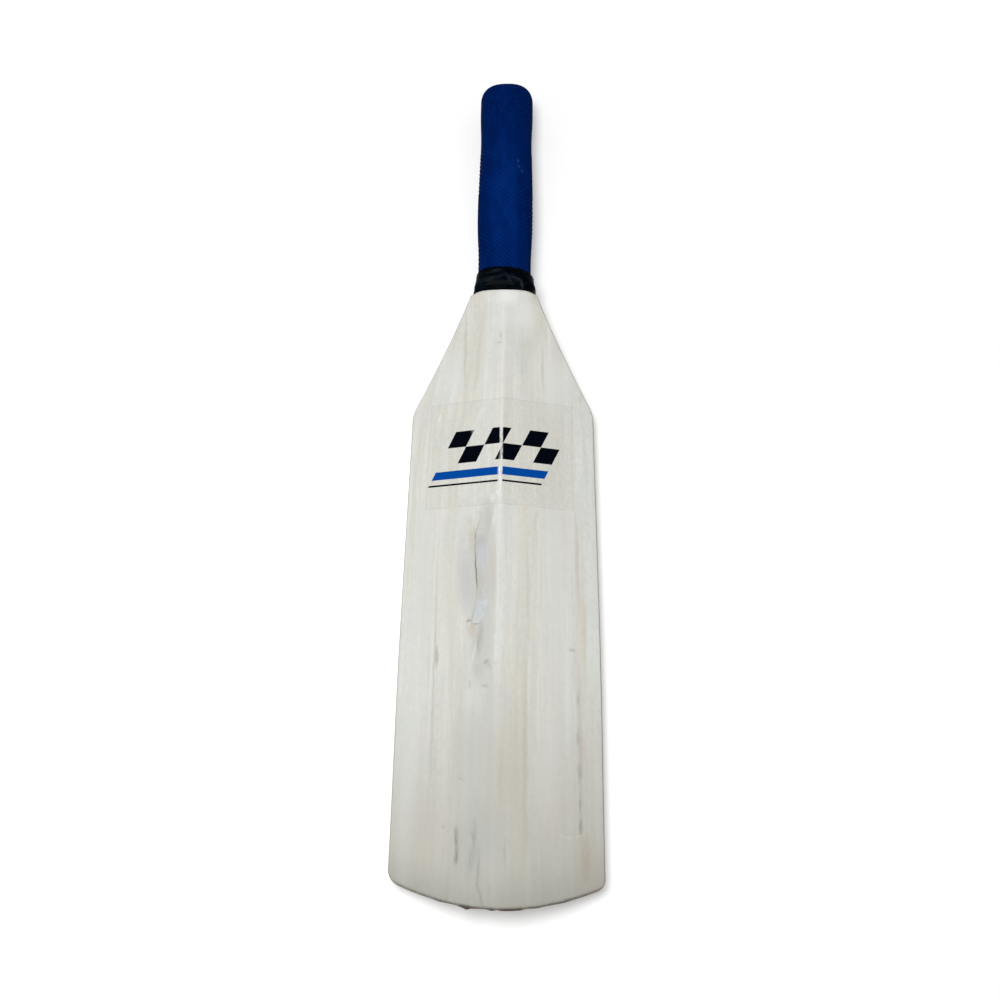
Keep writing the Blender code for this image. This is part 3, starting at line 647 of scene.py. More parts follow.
def wood_material():
    """Pale willow, planed, sanded and left nearly bare.

    The eye sees an almost white, faintly green-grey wood with soft streaks along the
    blade, greyer and browner at the toe, partly dirt where the bat has been stood and
    dragged and partly painted shade where the lamp's light falls off.
    """
    finish, tree, shader = new_material("Sanded pale willow")
    in_mm = object_mm(tree)
    axes = add(tree, "axes", in_mm).outputs
    x = axes["X"]
    y = axes["Y"]

    # Streaks wander a little, and above the label those of the left half lean out as they run down
    lean = add(tree, "MULTIPLY", add(tree, "ramp", y, -20, 80, 0, 11), add(tree, "ramp", x, 4, -22))
    wander = add(tree, "MULTIPLY_ADD", stretched_noise(tree, in_mm, (22, 55, 30), 2), 3.0, -1.5)
    straight = add(tree, "ADD", add(tree, "SUBTRACT", x, lean), wander)

    # and flow round the dead knot
    from_knot = add(tree, "SUBTRACT", x, KNOT_X)
    past_knot = add(tree, "SUBTRACT", y, KNOT_Y)
    squares = [add(tree, "POWER", add(tree, "DIVIDE", apart, reach), 2)
               for apart, reach in ((from_knot, KNOT_REACH_ACROSS), (past_knot, KNOT_REACH_ALONG))]
    near = add(tree, "EXPONENT", add(tree, "MULTIPLY", add(tree, "ADD", *squares), -1))
    side = add(tree, "DIVIDE", from_knot, add(tree, "ADD", add(tree, "ABSOLUTE", from_knot), 2))
    bulge = add(tree, "MULTIPLY", add(tree, "MULTIPLY", near, side), -KNOT_BULGE)
    grain = add(tree, "vector", add(tree, "ADD", straight, bulge), y, axes["Z"])

    # Growth bands 9 mm wide, fibre streaks 2.6 mm and pores 0.8 mm wide, then the nap of the
    # sanding, pores that fade at the much-handled toe, and a toe greyer and darker, partly
    # from dirt and partly as painted shade where the lamp's light falls off
    wide = stretched_noise(tree, grain, (9, 260, 40))
    fibre = stretched_noise(tree, grain, (2.6, 90, 9), 4)
    fine = stretched_noise(tree, grain, (0.8, 26, 3))
    cloud = stretched_noise(tree, in_mm, (14, 30, 14), 4, 0.6)
    nap = stretched_noise(tree, in_mm, (1.8, 3.2, 1.8), 4, 0.65)
    from_toe = add(tree, "carried", attribute_name="from_toe").outputs["Fac"]
    rubbed_toe = add(tree, "ramp", from_toe, 20, 110, 0.45, 1.0)
    pores = add(tree, "MULTIPLY", add(tree, "ramp", fine, 0.45, 0.75, 0, 0.24), rubbed_toe)
    colour = coated(
        tree, linear("#dcded9"),
        ("#d7d5cb", wide, 0.36, 0.66, 1),
        ("#c9c6ba", fibre, 0.42, 0.75, 0.36),
        ("#e8e9e6", fibre, 0.46, 0.28, 0.35),
        ("#c0beb4", pores),
        ("#cbcfcd", cloud, 0.45, 0.7, 0.35),
        ("#b9b8ae", nap, 0.45, 0.75, 0.26),
        ("#eeefeb", nap, 0.45, 0.25, 0.21),
        # Darker towards the toe: partly dirt, partly painted shade of the lamp's fall-off
        ("#aaa89d", from_toe, 115, 0, 0.55),
        ("#7f8179", from_toe, 20, -2, 0.35),
    )

    # Marks, with edges that wander
    shift = stretched_noise(tree, in_mm, (3.5, 12, 5), 3)
    across = add(tree, "MULTIPLY_ADD", shift, 2.2, -1.1)
    nudge = add(tree, "vector", across, across)
    nudged = add(tree, "ShaderNodeVectorMath", in_mm, nudge)
    broken = add(tree, "ramp", stretched_noise(tree, in_mm, (0.9, 5, 3), 3, 0.6), 0.3, 0.6, 0.35, 1)
    for marks, place, density in ((BROAD_BANDS, grain, None), (GRAIN_LINES, nudged, None),
                                  (RIDGE_HIGHLIGHT_AND_STREAKS, in_mm, broken), (STAINS, nudged, broken)):
        for *mark, code, strength in marks:
            share = spot(tree, place, mark, strength)
            if density:
                share = add(tree, "MULTIPLY", share, density)
            colour = coated(tree, colour, (code, share))
    colour = with_second_dab(tree, in_mm, colour)

    # Dark dead grain in the crack of the knot, with painted shade that deepens with the crack,
    # painted shade on the upright arrises, stronger on the right, and a dark, chipped edge
    # round the toe with splinters in it
    crack = add(tree, "carried", attribute_name="crack").outputs["Fac"]
    # Painted shade on the upright arrises, stronger towards the right side
    upright = add(tree, "ramp", facing_up(tree), 0.955, 0.7)
    arris_shade = add(tree, "MULTIPLY", upright, add(tree, "ramp", x, -10, 30, 0.52, 0.8))
    chips = stretched_noise(tree, in_mm, (5, 2, 3), 3, 0.7)
    dirty = add(tree, "SUBTRACT", add(tree, "MULTIPLY_ADD", chips, 4.0, -1.6), from_toe)
    crumb = add(tree, "carried", attribute_name="crumb").outputs["Fac"]
    colour = coated(
        tree, colour,
        # painted shade in the crack, deeper where it is deeper, over dark dead grain
        ("#777365", crack),
        # painted shade on the arrises
        ("#8d8272", arris_shade),
        ("#4f4a40", dirty, -0.8, 0.6, 0.6),
        ("#4a3b30", add(tree, "MULTIPLY", crumb, 0.9)),
    )
    bump = add(tree, "ShaderNodeBump",
               sockets={"Height": fine, "Strength": 0.15, "Distance": 0.15 * MM})
    give(tree, shader, {"Base Color": colour, "Roughness": 0.55, "Specular IOR Level": 0.2,
                        "Normal": bump})
    return finish


# Specks of dust on the grip: x, y and z in millimetres
GRIP_SPECKS = ((7.3, 164.3, 25.0), (7.9, 160.0, 24.8), (9.7, 157.4, 24.4))


def rubber_material():
    """Dark blue moulded rubber, matt, with painted sheen along its top and on the ribs' crests
    and painted shade down its sides and in the grooves.
    """
    finish, tree, shader = new_material("Moulded blue rubber")
    in_mm = object_mm(tree)

    # Painted sheen along the top, made patchy, and painted shade down the sides
    mottle = stretched_noise(tree, in_mm, (5, 14, 5))
    top_sheen = add(tree, "MULTIPLY", spot(tree, in_mm, (0, 138, 11, 62, 1), 1, core=0.7, z=26),
               add(tree, "ramp", mottle, 0.3, 0.7, 0.25, 0.6))

    # Painted highlight on the crests and painted shade in the grooves between them
    crest = add(tree, "carried", attribute_name="rib_crest").outputs["Fac"]
    reach = add(tree, "carried", attribute_name="rib_reach").outputs["Fac"]
    patchy = add(tree, "ramp", stretched_noise(tree, in_mm, (5, 7, 5), 3), 0.36, 0.62, 0.1, 1)
    crest_highlight = add(tree, "MULTIPLY", add(tree, "ramp", crest, 0.35, 0.9, 0, 0.2), patchy)
    groove_shade = add(tree, "MULTIPLY", add(tree, "ramp", crest, 0.4, 0.0, 0, 0.16), reach)

    # Scuffs that fan over the plain end, and dust
    spread = stretched_noise(tree, in_mm, (1.6, 1.0, 3), 2, 0.6)
    on_end = add(tree, "ramp", add(tree, "axes", in_mm).outputs["Y"], 176, 196)
    scuff = add(tree, "MULTIPLY", add(tree, "ramp", spread, 0.5, 0.66, 0, 0.28), on_end)
    dust = stretched_noise(tree, in_mm, (0.7, 0.7, 0.7), 2)
    colour = coated(
        tree, linear("#001a52"),
        ("#001e5b", mottle, 0.35, 0.65, 1),
        # painted shade down the sides
        ("#001238", facing_up(tree), 0.95, 0.2, 0.48),
        # painted sheen along the top
        ("#032e79", top_sheen),
        # painted highlight on the crests, and painted shade in the grooves below
        ("#0d3c84", crest_highlight),
        ("#001039", add(tree, "MULTIPLY", groove_shade, patchy)),
        ("#0d3779", scuff),
        ("#2c5494", dust, 0.7, 0.82, 0.3),
    )
    for x, y, z in GRIP_SPECKS:
        speck = spot(tree, in_mm, (x, y, 1.2, 1.6, 20), 0.35, z=z)
        colour = coated(tree, colour, ("#3a5b91", speck))
    skin = stretched_noise(tree, in_mm, (0.5, 0.5, 0.5), 2)
    bump = add(tree, "ShaderNodeBump",
               sockets={"Height": skin, "Strength": 0.12, "Distance": 0.1 * MM})
    give(tree, shader, {"Base Color": colour, "Roughness": 0.6, "Specular IOR Level": 0.003,
                        "Normal": bump})
    return finish


def tape_material():
    """Black PVC tape, pulled tight: deep black with soft smears of light on its folds, painted
    highlights among them.
    """
    finish, tree, shader = new_material("Stretched black PVC")
    in_mm = object_mm(tree)
    smear = stretched_noise(tree, in_mm, (5, 1.5, 5))
    fold_highlight = add(tree, "carried", attribute_name="fold_highlight").outputs["Fac"]
    uneven = add(tree, "ramp", stretched_noise(tree, in_mm, (2.5, 2.5, 4), 3), 0.3, 0.6, 0.3, 1)
    colour = coated(
        tree, linear("#000203"),
        ("#060c13", smear, 0.4, 0.65, 1),
        # painted highlight on the folds
        ("#24303a", add(tree, "MULTIPLY", fold_highlight, uneven)),
    )
    gloss = add(tree, "ramp", smear, 0.3, 0.7, 0.18, 0.34)
    give(tree, shader, {"Base Color": colour, "Roughness": gloss, "Specular IOR Level": 0.008})
    return finish


# Print on the label, in millimetres from its middle: chequers, and under them a blue bar and
# a thin black line, each by its middle and half height
CHEQUER_WIDTH = 9.6
CHEQUER_HEIGHT = 9.0
CHEQUER_MIDDLE = 3.5
PRINT_HALF_WIDTH = 3 * CHEQUER_WIDTH
PRINT_SLANT = 0.45
BLUE_BAR = (-11.6, 2.2)
THIN_LINE = (-17.0, 0.5)

# Places of the film that carry painted highlights: x, y, half width, half length, lean, strength
RIDGE_CREASES = (
    (0.3, -18, 0.7, 60, 0.2, 0.35),
    (-0.5, -8, 0.7, 24, 0.5, 0.35),
    (-0.6, -36, 1.5, 16, 1, 0.45),
    (-4.0, -44.6, 1.9, 3.8, -14, 0.5),
    (-1.4, -43, 1.3, 5.2, 4, 0.5),
)
BLISTERS = (
    (-33, 3, 2.2, 7, -12, 0.36),
    (-29.5, 7, 1.4, 6, -20, 0.2),
    (-21.5, 6, 1.6, 7, -20, 0.2),
    (-12.8, -1, 1.7, 9, -20, 0.26),
    (-9.8, 6, 1.4, 9, -20, 0.26),
    (-7.0, 8, 1.2, 7, -20, 0.24),
    (34.0, 5, 1.3, 4, 35, 0.2),
)


def film_material():
    """Clear polyester label film, printed in black and blue ink with slanted chequers.

    The film dulls the wood under it a little and carries painted highlights where it is
    creased or has lifted; the ink is dense, and the painted highlights along the ridge lie over it
    too.
    """
    finish, tree, shader = new_material("Clear label film")
    in_mm = object_mm(tree)
    centre = (LABEL_SHIFT / MM, LABEL_Y / MM, 0)
    local = add(tree, "ShaderNodeMapping", in_mm, centre, (0, 0, LABEL_SKEW), vector_type="TEXTURE")
    axes = add(tree, "axes", local).outputs
    across = axes["X"]
    along = axes["Y"]

    slanted = add(tree, "MULTIPLY_ADD", along, -PRINT_SLANT, across)
    sides = add(tree, "COMPARE", slanted, 0, PRINT_HALF_WIDTH)
    field, line, blue = [
        add(tree, "MULTIPLY", sides, add(tree, "COMPARE", along, middle, half))
        for middle, half in ((CHEQUER_MIDDLE, CHEQUER_HEIGHT), THIN_LINE, BLUE_BAR)]
    row = add(tree, "MULTIPLY_ADD", along, 1 / CHEQUER_HEIGHT, -CHEQUER_MIDDLE / CHEQUER_HEIGHT)
    cells = add(tree, "vector", add(tree, "MULTIPLY", slanted, 1 / CHEQUER_WIDTH), row, 0.5)
    chequer = add(tree, "ShaderNodeTexChecker", cells, sockets={"Scale": 1}).outputs["Fac"]
    black = add(tree, "MAXIMUM", add(tree, "MULTIPLY", chequer, field), line)

    mottle = stretched_noise(tree, in_mm, (1.3, 1.3, 4), 3, 0.6)
    colour = coated(
        tree, linear("#a3a194"),
        ("#bdbbae", mottle, 0.35, 0.65, 1),
        ("#04060f", black),
        ("#04479a", blue),
    )
    tint = add(tree, "ramp", mottle, 0.3, 0.7, 0.08, 0.16)
    alpha = add(tree, "MAXIMUM", tint, add(tree, "MAXIMUM", black, blue))

    # Painted highlights on the creases and the lifted spots
    patches = stretched_noise(tree, in_mm, (0.8, 3.5, 3), 3, 0.6)
    uneven = add(tree, "ramp", patches, 0.3, 0.6, 0.35, 1)
    for *mark, strength in RIDGE_CREASES + BLISTERS:
        share = add(tree, "MULTIPLY", spot(tree, in_mm, mark, strength), uneven)
        film_highlight = add(tree, "MINIMUM", add(tree, "MULTIPLY", share, 3), 1)
        colour = coated(tree, colour, ("#f1f2f0", film_highlight))
        alpha = add(tree, "MAXIMUM", alpha, share)

    # A faint rim 0.8 mm wide
    rims = []
    for place, size, strength in ((across, LABEL_WIDTH, 0.2), (along, LABEL_LENGTH, 0.22)):
        half = size / MM / 2
        apart = add(tree, "ABSOLUTE", place)
        rims.append(add(tree, "ramp", apart, half - 0.8, half - 0.2, 0, strength))
    rim = add(tree, "MAXIMUM", *rims)
    colour = coated(tree, colour, ("#8f8e81", add(tree, "MULTIPLY", rim, 2)))
    alpha = add(tree, "MAXIMUM", alpha, rim)

    # Only the film's upper face holds tint and ink, so they are seen once
    outer = add(tree, "carried", attribute_name="outer_face").outputs["Fac"]
    seen = add(tree, "MULTIPLY", alpha, outer)
    give(tree, shader, {"Base Color": colour, "Alpha": seen, "Roughness": 0.3,
                        "Specular IOR Level": 0.008})
    return finish


# Tones of the filler: x, y, half width, half length, lean, colour, strength
FILLER_TONES = (
    (-9, -66, 4.5, 9, 0, "#b4b6b6", 0.6),
    (-8, -75, 3, 9, 0, "#c4c4c8", 0.6),
    (-9.3, -88, 2.0, 12, 0, "#bdbcae", 0.6),
    (-5.5, -88, 1.5, 12, 0, "#b5b4b0", 0.5),
    (-6, -100, 1.8, 8, 0, "#b5b5ae", 0.6),
)


def filler_material():
    """Two-part wood filler, sanded flush: chalky grey with a bluer second dab at its foot."""
    finish, tree, shader = new_material("Sanded wood filler")
    in_mm = object_mm(tree)
    chalk = stretched_noise(tree, in_mm, (1.4, 4, 2), 4, 0.6)
    tones = [(code, spot(tree, in_mm, mark, strength, core=0.7))
             for *mark, code, strength in FILLER_TONES]
    rim = add(tree, "carried", attribute_name="rim").outputs["Fac"]
    colour = coated(tree, linear("#bdbdbd"), ("#c6c7c6", chalk, 0.35, 0.65, 1), *tones,
                    ("#cacac2", rim))
    colour = with_second_dab(tree, in_mm, colour)
    bump = add(tree, "ShaderNodeBump",
               sockets={"Height": chalk, "Strength": 0.3, "Distance": 0.2 * MM})
    give(tree, shader, {"Base Color": colour, "Roughness": 0.7, "Specular IOR Level": 0.15,
                        "Normal": bump})
    return finish


# The dead knot, in millimetres: places along the bat with the crack's path, its depth
# and the right side of the filler
CRACK_PATH = ((-110, -13.2), (-103, -12.6), (-97, -11.4), (-91, -10.8), (-85, -11.2), (-78, -11.8),
              (-70, -12.3), (-62, -12.1), (-55, -9.7), (-49, -10.2))
CRACK_DEPTH = ((-110, 0.0), (-106, 0.25), (-100, 0.12), (-92, 0.12), (-88, 0.45), (-80, 0.5),
               (-74, 0.3), (-68, 0.2), (-63, 0.3), (-57, 0.15), (-49, 0.0))
FILLER_RIGHT = ((-108, -9.8), (-106, -7.2), (-103, -5.4), (-98, -5.1), (-92, -6.2), (-84, -5.6),
                (-77, -4.4), (-70, -4.7), (-63, -6.2), (-60, -10.9))
CRACK_HALF_WIDTH = 0.3
FILLER_START = -108.0
FILLER_END = -60.0

# The pocket under the filler, how far the filler's rim and body stand above the wood, how far
# it goes down and how uneven it is, in millimetres
POCKET_MARGIN = 0.5
POCKET_DEPTH = 0.9
POCKET_RUN = 0.8
FILLER_RIM = -0.12
FILLER_PROUD = 0.08
FILLER_DEPTH = 0.6
FILLER_LUMPS = 0.05

# Rows and columns of points are closer together round the knot
KNOT_ROWS_START = -112 * MM
KNOT_ROWS_END = -48 * MM
KNOT_COLUMNS = np.arange(3.0, 15.0, 0.22)


def at(pairs, y):
    """Value at y of a broken line of (place, value) pairs."""
    places, values = zip(*pairs)
    return np.interp(y, places, values)


def crack_path(y):
    """X of the crack at y, in mm, which wavers along its broken line."""
    return at(CRACK_PATH, y) + 0.12 * np.sin(y * 0.9) + 0.07 * np.sin(y * 2.3)


def knot_relief(x, y):
    """How far the wood is lowered at (x, y), in mm, and how dark the crack is there."""
    path = crack_path(y)
    depth = at(CRACK_DEPTH, y)
    crack = hump(x, path, CRACK_HALF_WIDTH)
    inside = np.minimum(x - path, at(FILLER_RIGHT, y) - x) - POCKET_MARGIN
    ends = np.minimum(y - FILLER_START, FILLER_END - y)
    pocket = POCKET_DEPTH * ease(np.minimum(inside, ends), 0.0, POCKET_RUN)
    return crack * depth + pocket, crack * np.clip(depth * 1.5, 0, 0.75)


# Blade

def toe_reach(x):
    """How far the crowned and skewed toe stands out at x, past its corners."""
    return TOE_CROWN * (1 - (x / (TOE_WIDTH / 2)) ** 2) + x * math.tan(TOE_SKEW)


def bowed(x, y, z, share):
    """The ring moved towards the toe by a share of the toe's reach."""
    return ring_at(x, y - share * toe_reach(x), z)


def toe_rings(turns):
    """Rings from the crowned end of the toe up to full width, rounded in plan and in edge."""
    rings = []
    longest = max(TOE_CORNER_LEFT, TOE_CORNER_RIGHT)
    from_end = list(TOE_EDGE_RADIUS * (1 - np.cos(np.linspace(0, math.pi / 2, 8))))
    from_end += list(np.linspace(TOE_EDGE_RADIUS, longest, 7)[1:])
    for depth in from_end:
        edge = max(TOE_EDGE_RADIUS - depth, 0.0)
        trim = TOE_EDGE_RADIUS - math.sqrt(TOE_EDGE_RADIUS ** 2 - edge ** 2)
        y = TOE_CORNER_Y + depth
        half = blade_half_width(y)
        x, z = blade_outline(half, ridge_radius(y), trim, turns)
        for side, radius in ((-1, TOE_CORNER_LEFT), (1, TOE_CORNER_RIGHT)):
            corner = max(radius - depth, 0.0)
            inset = radius - math.sqrt(radius ** 2 - corner ** 2)
            x = np.where(x * side > 0, x * (half - inset) / half, x)
        rings.append(bowed(x, y, z, 1.0))
    return rings, TOE_CORNER_Y + longest


# Splinters and dirt pushed out of the toe's edge: x, half width and reach in mm
TOE_CRUMBS = (
    (-12.2, 1.5, 0.9), (-14.6, 1.3, 0.3), (-9.4, 2.0, 0.2), (-1.4, 1.4, 0.4), (2.6, 1.6, 0.3),
    (4.6, 1.6, 0.27), (6.6, 1.6, 0.3), (8.6, 1.6, 0.27), (10.6, 1.5, 0.33), (17.6, 2.2, 0.22),
    (-24, 2.5, 0.2), (29, 3, 0.2),
)

# In millimetres: where they fade out behind the edge, the heights between which they appear,
# and the reach from which they are fully dark
CRUMB_RUN = (0.5, 1.4)
CRUMB_HEIGHTS = (6, 9)
CRUMB_DARK = 0.4


def toe_crumbs(x):
    """How far the crumbs stand out at x, in mm."""
    return sum(reach * hump(x, place, width) for place, width, reach in TOE_CRUMBS)


def build_blade(finish):
    """Blade, shoulders and handle core, lofted finely from the toe to the butt."""
    turns = ring_turns(flat_steps=48, left_extra=KNOT_COLUMNS * MM / (BLADE_WIDTH / 2))
    around = len(turns)
    rings, first = toe_rings(turns)
    corner_run = SHOULDER_CORNER_RADIUS / 4
    stops = (
        (first, 56), (KNOT_ROWS_START, 70), (KNOT_ROWS_END, 24), (SHOULDER_Y - 2 * corner_run, 24),
        (SHOULDER_Y + 2 * corner_run, 44), (NECK_Y, 5), (NECK_Y + NECK_LEDGE_RUN, 14),
        (NECK_Y + NECK_RUNOUT, 12), (CORE_END_Y - CORE_END_CHAMFER, 1), (CORE_END_Y, 0),
    )
    stations = []
    for (start, count), (end, _) in zip(stops, stops[1:]):
        stations += steps(start, end, count)
    for y in stations[1:]:
        share = 1 - ease(y, first, SHOULDER_Y - corner_run)
        x, z = wood_outline(y, turns)
        rings.append(bowed(x, y, z, share))
    x, z = shrunk(*wood_outline(CORE_END_Y, turns), CORE_END_CHAMFER)
    rings.append(ring_at(x, CORE_END_Y, z))
    faces = loft_faces(len(rings), around)
    faces += cap_faces(0, around, False)
    faces += cap_faces((len(rings) - 1) * around, around, True)

    points = np.concatenate(rings)
    on_back = points[:, 2] > EDGE_THICKNESS + 1 * MM
    lowered, dark = knot_relief(points[:, 0] / MM, points[:, 1] / MM)
    points[:, 2] -= np.where(on_back, lowered, 0.0) * MM
    from_toe = (points[:, 1] - TOE_CORNER_Y + toe_reach(points[:, 0])) / MM
    at_edge = (1 - ease(from_toe, *CRUMB_RUN)) * ease(points[:, 2] / MM, *CRUMB_HEIGHTS)
    crumb = toe_crumbs(points[:, 0] / MM) * at_edge
    points[:, 1] -= crumb * MM
    piece = make_piece("timber", points, faces, finish)
    give_attribute(piece, "crack", np.where(on_back, dark, 0.0))
    give_attribute(piece, "from_toe", from_toe)
    give_attribute(piece, "crumb", np.clip(crumb / CRUMB_DARK, 0, 1))
    return piece


def build_filler(finish):
    """Filler that stands a hair proud of the wood, feathered out at its rim."""
    across = 27
    along = 110
    top = []
    under = []
    rims = []
    s = np.linspace(0, 1, across)
    for t in np.linspace(0, 1, along):
        y = mix(FILLER_START + 0.2, FILLER_END - 0.2, t)
        left = crack_path(y) + CRACK_HALF_WIDTH
        right = max(at(FILLER_RIGHT, y) + 0.25 * math.sin(y * 0.9), left + 0.8)
        x = mix(left, right, s)
        ends = min(t, 1 - t) * along / 8
        body = np.minimum(np.minimum(s, 1 - s) * 7, ends)
        lumps = np.array([noise.noise(Vector((u * 0.7, y * 0.25, 3.0))) for u in x]) * FILLER_LUMPS
        rise = FILLER_RIM + (FILLER_PROUD - FILLER_RIM) * ease(body, 0.0, 1.0) + lumps
        wood = roof_height(x * MM, ridge_radius(y * MM))
        top.append(ring_at(x * MM, y * MM, wood + rise * MM))
        under.append(ring_at(x * MM, y * MM, wood - FILLER_DEPTH * MM))
        rims.append(1 - ease(np.minimum((1 - s) * 3, ends / 2), 0.0, 1.0))
    points = np.concatenate(top + under)
    piece = make_piece("knot_stopping", points, sheet_faces(across, along), finish, smooth_below=60)
    give_attribute(piece, "rim", np.concatenate(rims * 2))
    return piece


def build_label(finish):
    """Thin film that hugs the roofed back, bridges the ridge and has lifted in a few blisters."""
    across = 150
    along = 100
    side = np.linspace(-1, 1, across)
    end = np.linspace(-1, 1, along)
    side, end = np.meshgrid(np.sign(side) * np.abs(side) ** 1.3, end)
    u = side * LABEL_WIDTH / 2
    v = end * LABEL_LENGTH / 2
    x = (LABEL_SHIFT + u * math.cos(LABEL_SKEW) - v * math.sin(LABEL_SKEW)).ravel()
    y = (LABEL_Y + u * math.sin(LABEL_SKEW) + v * math.cos(LABEL_SKEW)).ravel()
    lift = FILM_CLEARANCE + RIDGE_LIFT * hump(x, 0, RIDGE_LIFT_REACH)
    for mx, my, width, length, turn, strength in BLISTERS:
        c = math.cos(math.radians(turn))
        s = math.sin(math.radians(turn))
        dx = x / MM - mx
        dy = y / MM - my
        reach = ((dx * c + dy * s) / width) ** 2 + ((dy * c - dx * s) / length) ** 2
        lift += BLISTER_LIFT * strength * np.exp(-reach * 2)
    under_z = roof_height(x, RIDGE_RADIUS) + lift
    points = np.concatenate([ring_at(x, y, under_z + FILM_THICKNESS), ring_at(x, y, under_z)])
    piece = make_piece("label_film", points, sheet_faces(across, along), finish, smooth_below=60)
    give_attribute(piece, "outer_face", np.repeat([1.0, 0.0], across * along))
    piece.visible_shadow = False
    piece.visible_diffuse = False
    return piece


# Grip

def grip_wall(y):
    """Wall of the sleeve, thinned to a lip where the tape holds it down."""
    return mix(GRIP_LIP, GRIP_WALL, ease(y, GRIP_START_Y, GRIP_START_Y + GRIP_LIP_LENGTH))


def grip_outline(y, turns):
    """Outside of the sleeve, slimmer than its solid, and most of all a little above the tape."""
    x, z = wood_outline(y, turns)
    x, z = grown(x, z, SOLID_GAP + grip_wall(y))
    waist = GRIP_SLIMMER + GRIP_WAIST * hump(y, GRIP_START_Y + GRIP_WAIST_PLACE, GRIP_WAIST_REACH)
    return x * (1 - waist / x.max()), z


def side_lengths(x, z):
    """Lengths of the sides of a closed outline."""
    return np.hypot(np.roll(x, -1) - x, np.roll(z, -1) - z)


def respaced(x, z, count, turned=0.0):
    """The outline with count points at even distances, the first turned on round it."""
    run = np.concatenate([[0.0], np.cumsum(side_lengths(x, z))])
    wanted = ((np.arange(count) + turned * count) % count) / count * run[-1]
    return np.interp(wanted, run, np.append(x, x[0])), np.interp(wanted, run, np.append(z, z[0]))


def rib_tree():
    """Geometry nodes that raise rounded ribs on a smooth sleeve.

    The sleeve's points carry how far round the ribs they lie and how much rib they have.
    """
    tree = bpy.data.node_groups.new("Raise ribs", "GeometryNodeTree")
    for name, kind in (("Geometry", "Geometry"), ("Rib depth", "Float"),
                       ("Crest sharpness", "Float"), ("Rubber", "Material")):
        tree.interface.new_socket(name, in_out="INPUT", socket_type="NodeSocket" + kind)
    tree.interface.new_socket("Geometry", in_out="OUTPUT", socket_type="NodeSocketGeometry")
    given = add(tree, "NodeGroupInput").outputs
    turn, reach = [add(tree, "GeometryNodeInputNamedAttribute", name, data_type="FLOAT")
                   for name in ("rib_turn", "rib_reach")]
    wave = add(tree, "COSINE", add(tree, "MULTIPLY", turn, 2 * math.pi))
    crest = add(tree, "POWER", add(tree, "MULTIPLY_ADD", wave, 0.5, 0.5), given["Crest sharpness"])
    faded = add(tree, "MULTIPLY", add(tree, "SUBTRACT", crest, 1), reach)
    depth = add(tree, "MULTIPLY", faded, given["Rib depth"])
    outward = add(tree, "GeometryNodeInputNormal")
    offset = add(tree, "ShaderNodeVectorMath", outward, depth, operation="SCALE")
    moved = add(tree, "GeometryNodeSetPosition", given["Geometry"], sockets={"Offset": offset})
    real = add(tree, "GeometryNodeRealizeInstances", moved)
    covered = add(tree, "GeometryNodeSetMaterial", real, sockets={"Material": given["Rubber"]})
    add(tree, "NodeGroupOutput", covered)
    return tree


def set_inputs(modifier, values):
    """Give a geometry nodes modifier its inputs by their sockets' identifiers."""
    for item in modifier.node_group.interface.items_tree:
        if item.name in values and item.in_out == "INPUT":
            modifier[item.identifier] = values[item.name]


